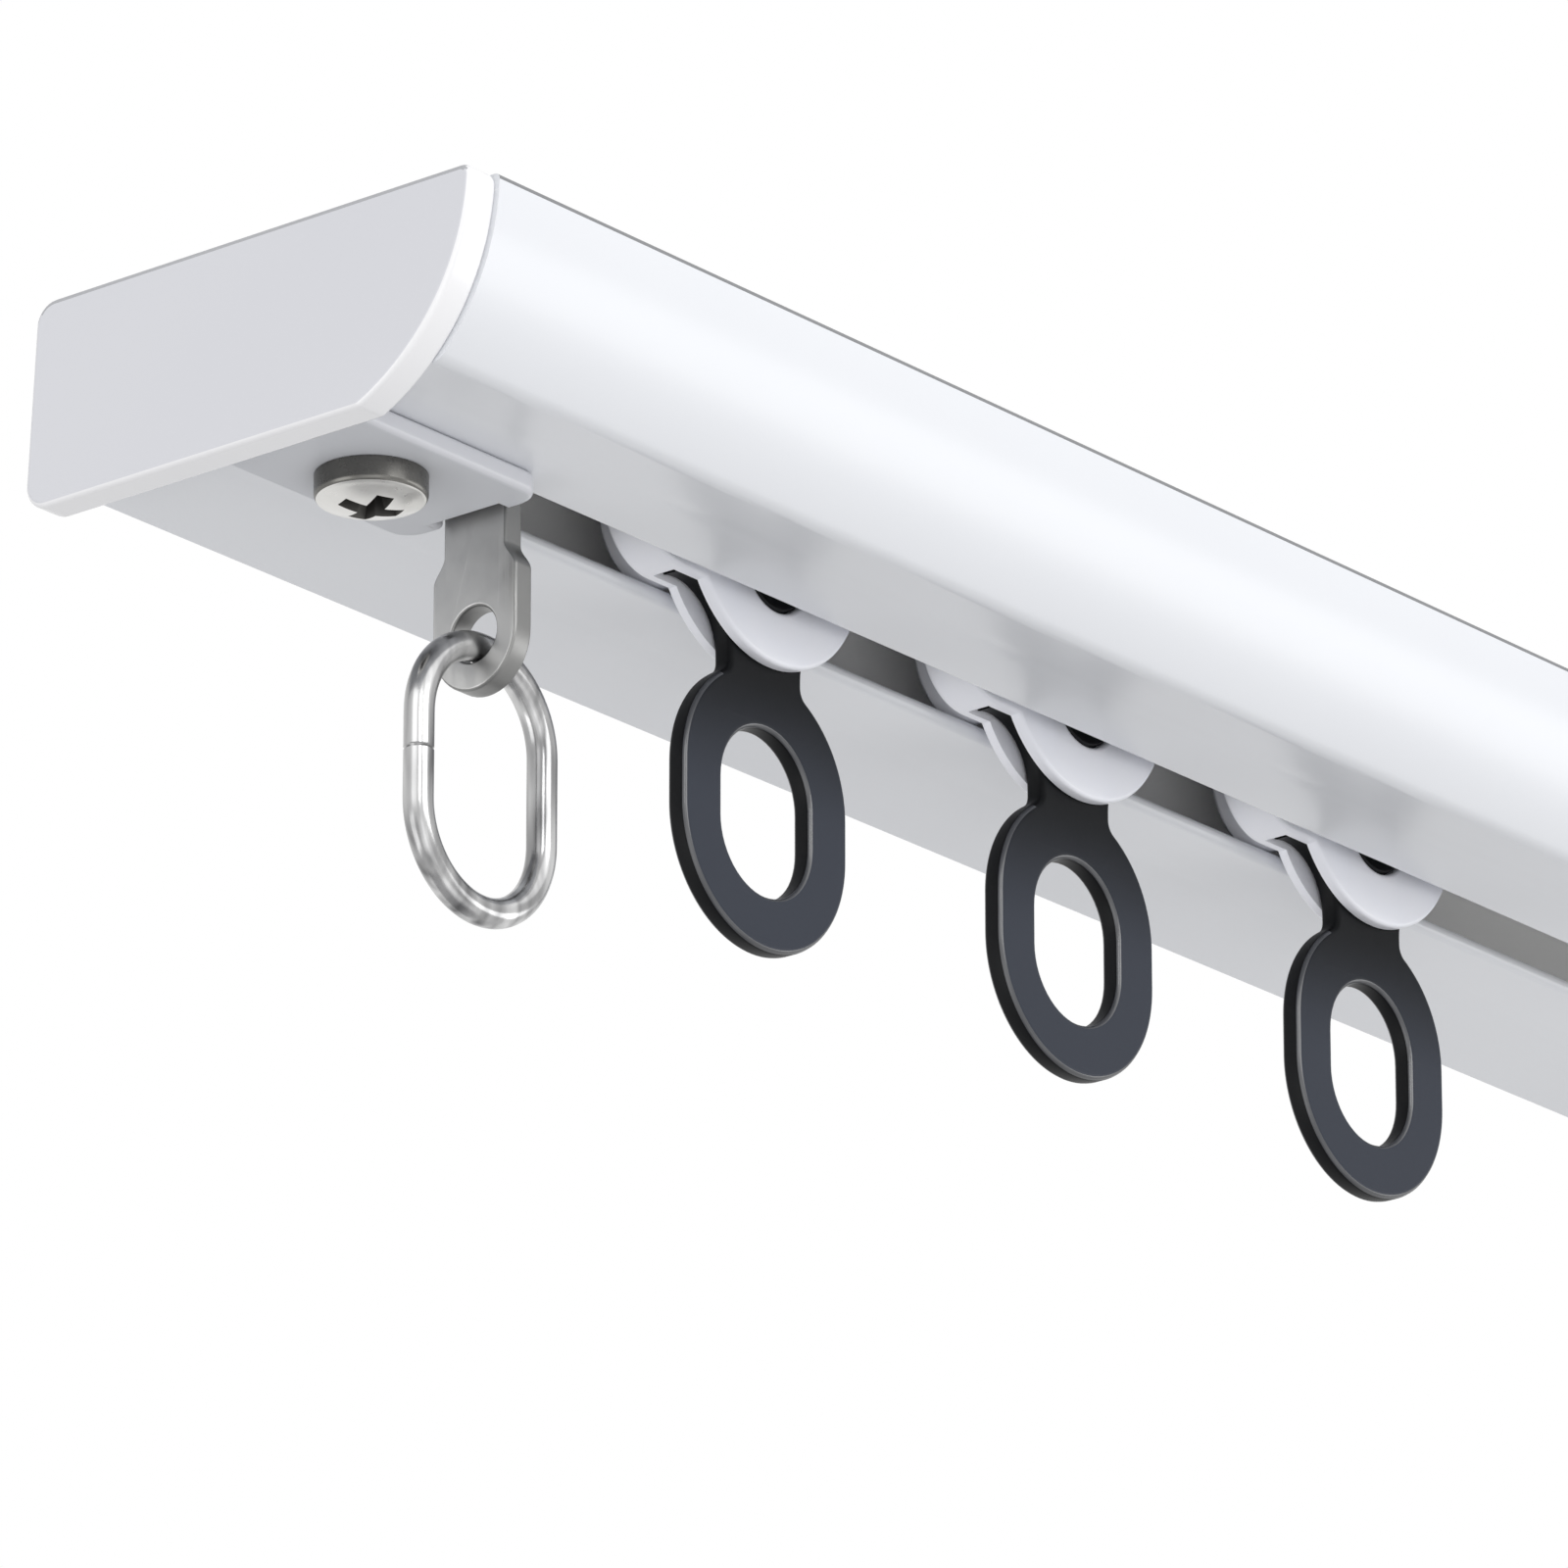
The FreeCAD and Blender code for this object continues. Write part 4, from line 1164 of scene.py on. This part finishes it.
@dataclass
class Link:
    """The split oval link that hangs in the hook plate."""

    wire: float = 0.95
    width: float = 11.4
    height: float = 16.89
    split: float = 0.25
    split_below: float = 8.1
    top: float = -20.62
    cut_share: float = 0.86
    cut_round: float = 0.12
    segments: int = 32

    def path(self) -> list[Point]:
        """The wire's middle line, from one side of the split round to the other."""
        r = self.width / 2
        high = self.top - r
        low = self.top - self.height + r
        gap = self.top - self.split_below
        run = [(-r, gap + self.split / 2 + (high - gap) * i / 6) for i in range(6)]
        run += arc((0.0, high), r, 180.0, 0.0, 48)
        run += [(r, high + (low - high) * i / 8) for i in range(1, 8)]
        run += arc((0.0, low), r, 0.0, -180.0, 48)
        run += [(-r, low + (gap - self.split / 2 - low) * i / 6) for i in range(1, 7)]
        return run

    def mesh(self) -> Mesh:
        """Sweeps the wire along its middle line, its cut ends a little rounded.

        Returns:
            The mesh, with a map of length and turn for the drawing lines.
        """
        path = [Vector((x, 0.0, z)) for x, z in self.path()]
        form = bmesh.new()
        layer = form.loops.layers.uv.new("run")
        last = len(path) - 1
        rings = [self.ring(form, path, i) for i in range(len(path))]
        rings.insert(0, self.ring(form, path, 0, self.cut_share, -self.cut_round))
        rings.append(self.ring(form, path, last, self.cut_share, self.cut_round))
        for number, face in enumerate(lofted(form, rings)):
            row, i = divmod(number, self.segments)
            for loop, (du, dv) in zip(face.loops, ((0, 0), (0, 1), (1, 1), (1, 0))):
                loop[layer].uv = ((row + du) / len(rings), (i + dv) / self.segments)
        form.faces.new(rings[0][::-1])
        form.faces.new(rings[-1])
        return formed(form, "split_link")

    def ring(
        self, form: Form, path: list[Vector], at: int, share: float = 1.0, push: float = 0.0
    ) -> list[bmesh.types.BMVert]:
        """One ring of vertices round the wire.

        Args:
            form: the mesh being built.
            path: the middle line.
            at: which of its points.
            share: share of the wire's radius.
            push: how far along the wire it is moved, in mm.

        Returns:
            The ring's vertices.
        """
        before, after = path[max(at - 1, 0)], path[min(at + 1, len(path) - 1)]
        along = (after - before).normalized()
        out, across = Vector((along.z, 0.0, -along.x)), Vector((0.0, 1.0, 0.0))
        centre = path[at] + along * push
        turns = [2 * math.pi * i / self.segments for i in range(self.segments)]
        offsets = [(out * math.cos(t) + across * math.sin(t)) * self.wire * share for t in turns]
        return [form.verts.new((centre + offset) * MM) for offset in offsets]


@dataclass
class Carriage:
    """The glider's moulded carriage: a block with a long nose, and two round cheeks."""

    nose: float = 13.2
    nose_radius: float = 4.3
    thickness: float = 3.3
    top: float = -2.6
    foot: float = -10.5
    corner: float = 1.8
    edge: float = 0.3
    cheek_radius: float = 8.2
    cheek_centre: float = -6.1
    slot_half: float = 0.85
    slot_top: float = -7.5
    slot_reach: float = 9.2
    pivot: float = -7.7
    hub_bore: float = 3.04
    axle_bore: float = 1.02
    axle_from_middle: float = 6.3
    axle_z: float = -5.6

    def outline(self) -> list[Point]:
        """The side outline: round cheek, rounded top corners and the long round nose."""
        touch = slope((self.foot - self.cheek_centre) / self.cheek_radius)
        level = self.top - self.corner
        bow = (self.nose_radius - self.nose, self.foot + self.nose_radius)
        return [
            *arc((0.0, self.cheek_centre), self.cheek_radius, -180.0 - touch, 0.0, 44),
            *arc((self.cheek_radius - self.corner, level), self.corner, 0.0, 90.0, 8),
            *arc((self.corner - self.nose, level), self.corner, 90.0, 180.0, 8),
            *arc(bow, self.nose_radius, 180.0, 270.0, 20),
        ]

    def mesh(self) -> Mesh:
        """Moulds the block with its bores and cuts the gap for the eye."""
        holes = [circle((0.0, self.pivot), self.hub_bore, 48)]
        for x in (-self.axle_from_middle, self.axle_from_middle):
            holes.append(circle((x, self.axle_z), self.axle_bore, 24))
        solid = moulded_plate("carriage", [self.outline(), *holes], self.thickness, self.edge)
        low = Vector((-self.slot_reach, -self.slot_half, self.cheek_centre - 2 * self.cheek_radius))
        high = Vector((2 * self.cheek_radius, self.slot_half, self.slot_top))
        return cut(solid, block("eye_gap", low, high))


@dataclass
class Eye:
    """The glider's swinging eye: hub, flared head, neck and oval eye."""

    thickness: float = 1.5
    edge: float = 0.4
    face_tilt: float = 0.97
    side_tilt: float = 0.25
    ridge_top: float = -15.8
    radius: float = 7.95
    upper: float = -22.4
    lower: float = -25.1
    hole_radius: float = 4.25
    hole_upper: float = -22.7
    hole_lower: float = -25.2
    neck: float = 3.5
    shoulder: float = 1.0
    flare: float = 4.0
    flare_foot: float = -14.2
    head_top: float = -9.5
    head_half: float = 8.6
    head_far: float = 7.6
    hub_radius: float = 2.95
    hub_half: float = 1.55
    hub_chamfer: float = 0.15
    pivot: float = -7.7

    def outline(self) -> list[Point]:
        """The eye's outline, from the bottom up its right side and down its left."""
        rise = math.sqrt((self.radius + self.shoulder) ** 2 - (self.neck + self.shoulder) ** 2)
        touch = math.degrees(math.atan2(rise, self.neck + self.shoulder))
        shoulder = (self.neck + self.shoulder, self.upper + rise)
        right = [
            *arc((0.0, self.lower), self.radius, -90.0, 0.0, 28),
            *arc((0.0, self.upper), self.radius, 0.0, touch, 22),
            *arc(shoulder, self.shoulder, 180.0 + touch, 180.0, 8)[1:],
        ]
        left = mirrored(right[1:] + self.head(self.head_half))
        return [*right, *self.head(self.head_far), *left]

    def head(self, half: float) -> list[Point]:
        """One side of the flared head, out to a half width."""
        centre = (self.neck + self.flare, self.flare_foot)
        reach = self.flare - (half - self.neck)
        tip = math.degrees(math.acos(-reach / self.flare))
        return [*arc(centre, self.flare, 180.0, tip, 16), (half, self.head_top)]

    def mesh(self) -> Mesh:
        """Moulds the plate and puts the hub on it.

        Returns:
            The mesh, with slots for the faces, the ridge round the eye, and the sides.
        """
        hole = arc((0.0, self.hole_upper), self.hole_radius, 0.0, 180.0, 28)
        hole += arc((0.0, self.hole_lower), self.hole_radius, 180.0, 360.0, 28)
        plate = moulded_plate("eye", [self.outline(), hole], self.thickness, self.edge)
        for face in plate.polygons:
            lean = abs(face.normal.y)
            # Bevels above ridge_top, round the head between the carriage's cheeks, take the
            # blackest side finish as painted shade.
            is_side = lean < self.side_tilt or face.center.z > self.ridge_top * MM
            face.material_index = int(lean < self.face_tilt) * (1 + int(is_side))
        side = [(self.hub_radius - self.hub_chamfer, -self.hub_half),
                (self.hub_radius, self.hub_chamfer - self.hub_half)]
        side += [(radius, -height) for radius, height in reversed(side)]
        hub = turned_piece("hub", [(0.0, -self.hub_half), *side, (0.0, self.hub_half)], 64)
        hub.transform(moved(0.0, 0.0, self.pivot) @ Plane.SIDE.value)
        return joined("eye", [plate, hub])


@dataclass
class Gliders:
    """The six gliders: three bunched near the photographed end, three along the rail."""

    from_face: tuple[float, ...] = (47.6, 78.85, 110.1, 178.4, 246.7, 315.0)

    def build(self) -> None:
        """Builds each glider and dresses its packed axles and rollers."""
        carriage, eye = Carriage().mesh(), Eye().mesh()
        for number, distance in enumerate(self.from_face, start=1):
            name = f"glider_{number}"
            place = Vector((distance - HALF_OVERALL, 0.0, 0.0))
            show(f"{name}_carriage_dressed", carriage, [CARRIAGE_PLASTIC], name,
                 f"{name}_carriage", place)
            show(f"{name}_eye_dressed", eye, [EYE_PLASTIC, EYE_RIDGE_PLASTIC, EYE_SIDE_PLASTIC],
                 f"{name}_eye", f"{name}_eye", place)
            finish_node(f"{name}_axles", AXLE_STEEL)
            for side in End:
                finish_node(f"{name}_{side.word}_rollers", ROLLER_PLASTIC)


# The studio


@dataclass(frozen=True)
class SoftBox:
    """A rectangular lamp, in mm, that shines evenly in white."""

    name: str
    direction: Triple
    width: float
    height: float
    radiance: float
    distance: float = 1500.0

    def build(self, target: Vector) -> None:
        """Hangs the lamp, turned to a target in mm."""
        lamp = bpy.data.lights.new(self.name, "AREA")
        lamp.shape = "RECTANGLE"
        lamp.size = self.width * MM
        lamp.size_y = self.height * MM
        lamp.energy = self.radiance * math.pi * lamp.size * lamp.size_y
        holder = in_scene(self.name, lamp)
        towards = Vector(self.direction).normalized()
        holder.location = (target + towards * self.distance) * MM
        holder.rotation_mode = "QUATERNION"
        holder.rotation_quaternion = towards.to_track_quat("Z", "Y")


@dataclass
class Studio:
    """Camera, lamps, white surroundings and the pale floor of the room below."""

    camera_mm: Vector = field(default_factory=lambda: Vector((-709.55, -463.20, -289.47)))
    azimuth: float = -50.39
    elevation: float = -20.27
    lens: float = 284.24
    sensor: float = 36.0
    target_mm: Vector = field(default_factory=lambda: Vector((-140.0, 0.0, -12.0)))
    ambient: float = 0.52
    floor_mm: float = -6000.0
    floor_half: float = 3750.0
    lamps: tuple[SoftBox, ...] = (
        SoftBox("window_lamp", (0.15, -0.76, 0.62), 1400.0, 700.0, 0.8),
        SoftBox("front_lamp", (0.0, -1.0, 0.3), 900.0, 500.0, 3.3),
        SoftBox("rail_strip_lamp", (0.726, -0.677, -0.122), 1300.0, 520.0, 1.9),
        SoftBox("end_lamp", (-0.9, -0.15, 0.4), 900.0, 900.0, 0.83),
        SoftBox("edge_lamp", (-0.57, -0.69, 0.35), 260.0, 420.0, 7.5),
        SoftBox("low_left_lamp", (-0.5, -0.8, -0.25), 900.0, 900.0, 0.5),
        SoftBox("camera_side_lamp", (-0.72, -0.6, -0.35), 900.0, 900.0, 0.6),
        SoftBox("low_front_lamp", (0.1, -0.6, -0.8), 900.0, 900.0, 0.5),
        SoftBox("back_left_lamp", (-0.9, 0.3, -0.3), 900.0, 900.0, 1.7),
    )

    def build(self) -> None:
        """Sets up everything that isn't part of the object."""
        self.camera()
        self.world()
        self.floor()
        for lamp in self.lamps:
            lamp.build(self.target_mm)
        bpy.context.scene.view_settings.view_transform = "Standard"
        log.info("studio: %d lamps", len(self.lamps))

    def camera(self) -> None:
        """Puts the camera where the photograph was taken from, for a square picture."""
        lens = bpy.data.cameras.new("camera")
        lens.lens = self.lens
        lens.sensor_width = self.sensor
        lens.sensor_fit = "HORIZONTAL"
        holder = in_scene("camera", lens)
        holder.location = self.camera_mm * MM
        turn = (math.radians(90.0 - self.elevation), 0.0, math.radians(self.azimuth))
        holder.rotation_euler = turn
        bpy.context.scene.camera = holder

    def world(self) -> None:
        """White all round for the eye and for reflections, and a plain level of light."""
        world = bpy.data.worlds.new("studio")
        bpy.context.scene.world = world
        world.use_nodes = True
        tree = world.node_tree
        tree.nodes.clear()
        rays = add_node(tree, "LightPath").outputs
        shown = rays["Is Camera Ray"]
        for kind in ("Is Glossy Ray", "Is Transmission Ray"):
            shown = add_node(tree, "Math", {0: shown, 1: rays[kind]},
                             operation="MAXIMUM").outputs[0]
        light, white = (
            add_node(tree, "Background", {"Color": linear(colour), "Strength": strength}).outputs[0]
            for colour, strength in (("#FDFDFF", self.ambient), ("#FFFFFF", 1.0)))
        mix = add_node(tree, "MixShader", {"Fac": shown, 1: light, 2: white})
        add_node(tree, "OutputWorld", {"Surface": mix.outputs[0]})

    def floor(self) -> None:
        """The pale floor of a high room, far below the ceiling rail."""
        form = bmesh.new()
        half = self.floor_half * MM
        corners = [(-half, -half), (half, -half), (half, half), (-half, half)]
        form.faces.new([form.verts.new((x, y, self.floor_mm * MM)) for x, y in corners])
        mesh = formed(form, "floor", turn_out=False)
        mesh.materials.append(PALE_FLOOR.material())
        in_scene("floor", mesh)


def main() -> None:
    """Builds the object and then the studio."""
    logging.basicConfig(level=logging.INFO, format="%(message)s")
    Rail().build()
    for end in End:
        EndFitting(end).build()
    Gliders().build()
    Studio().build()


if __name__ == "__main__":
    main()
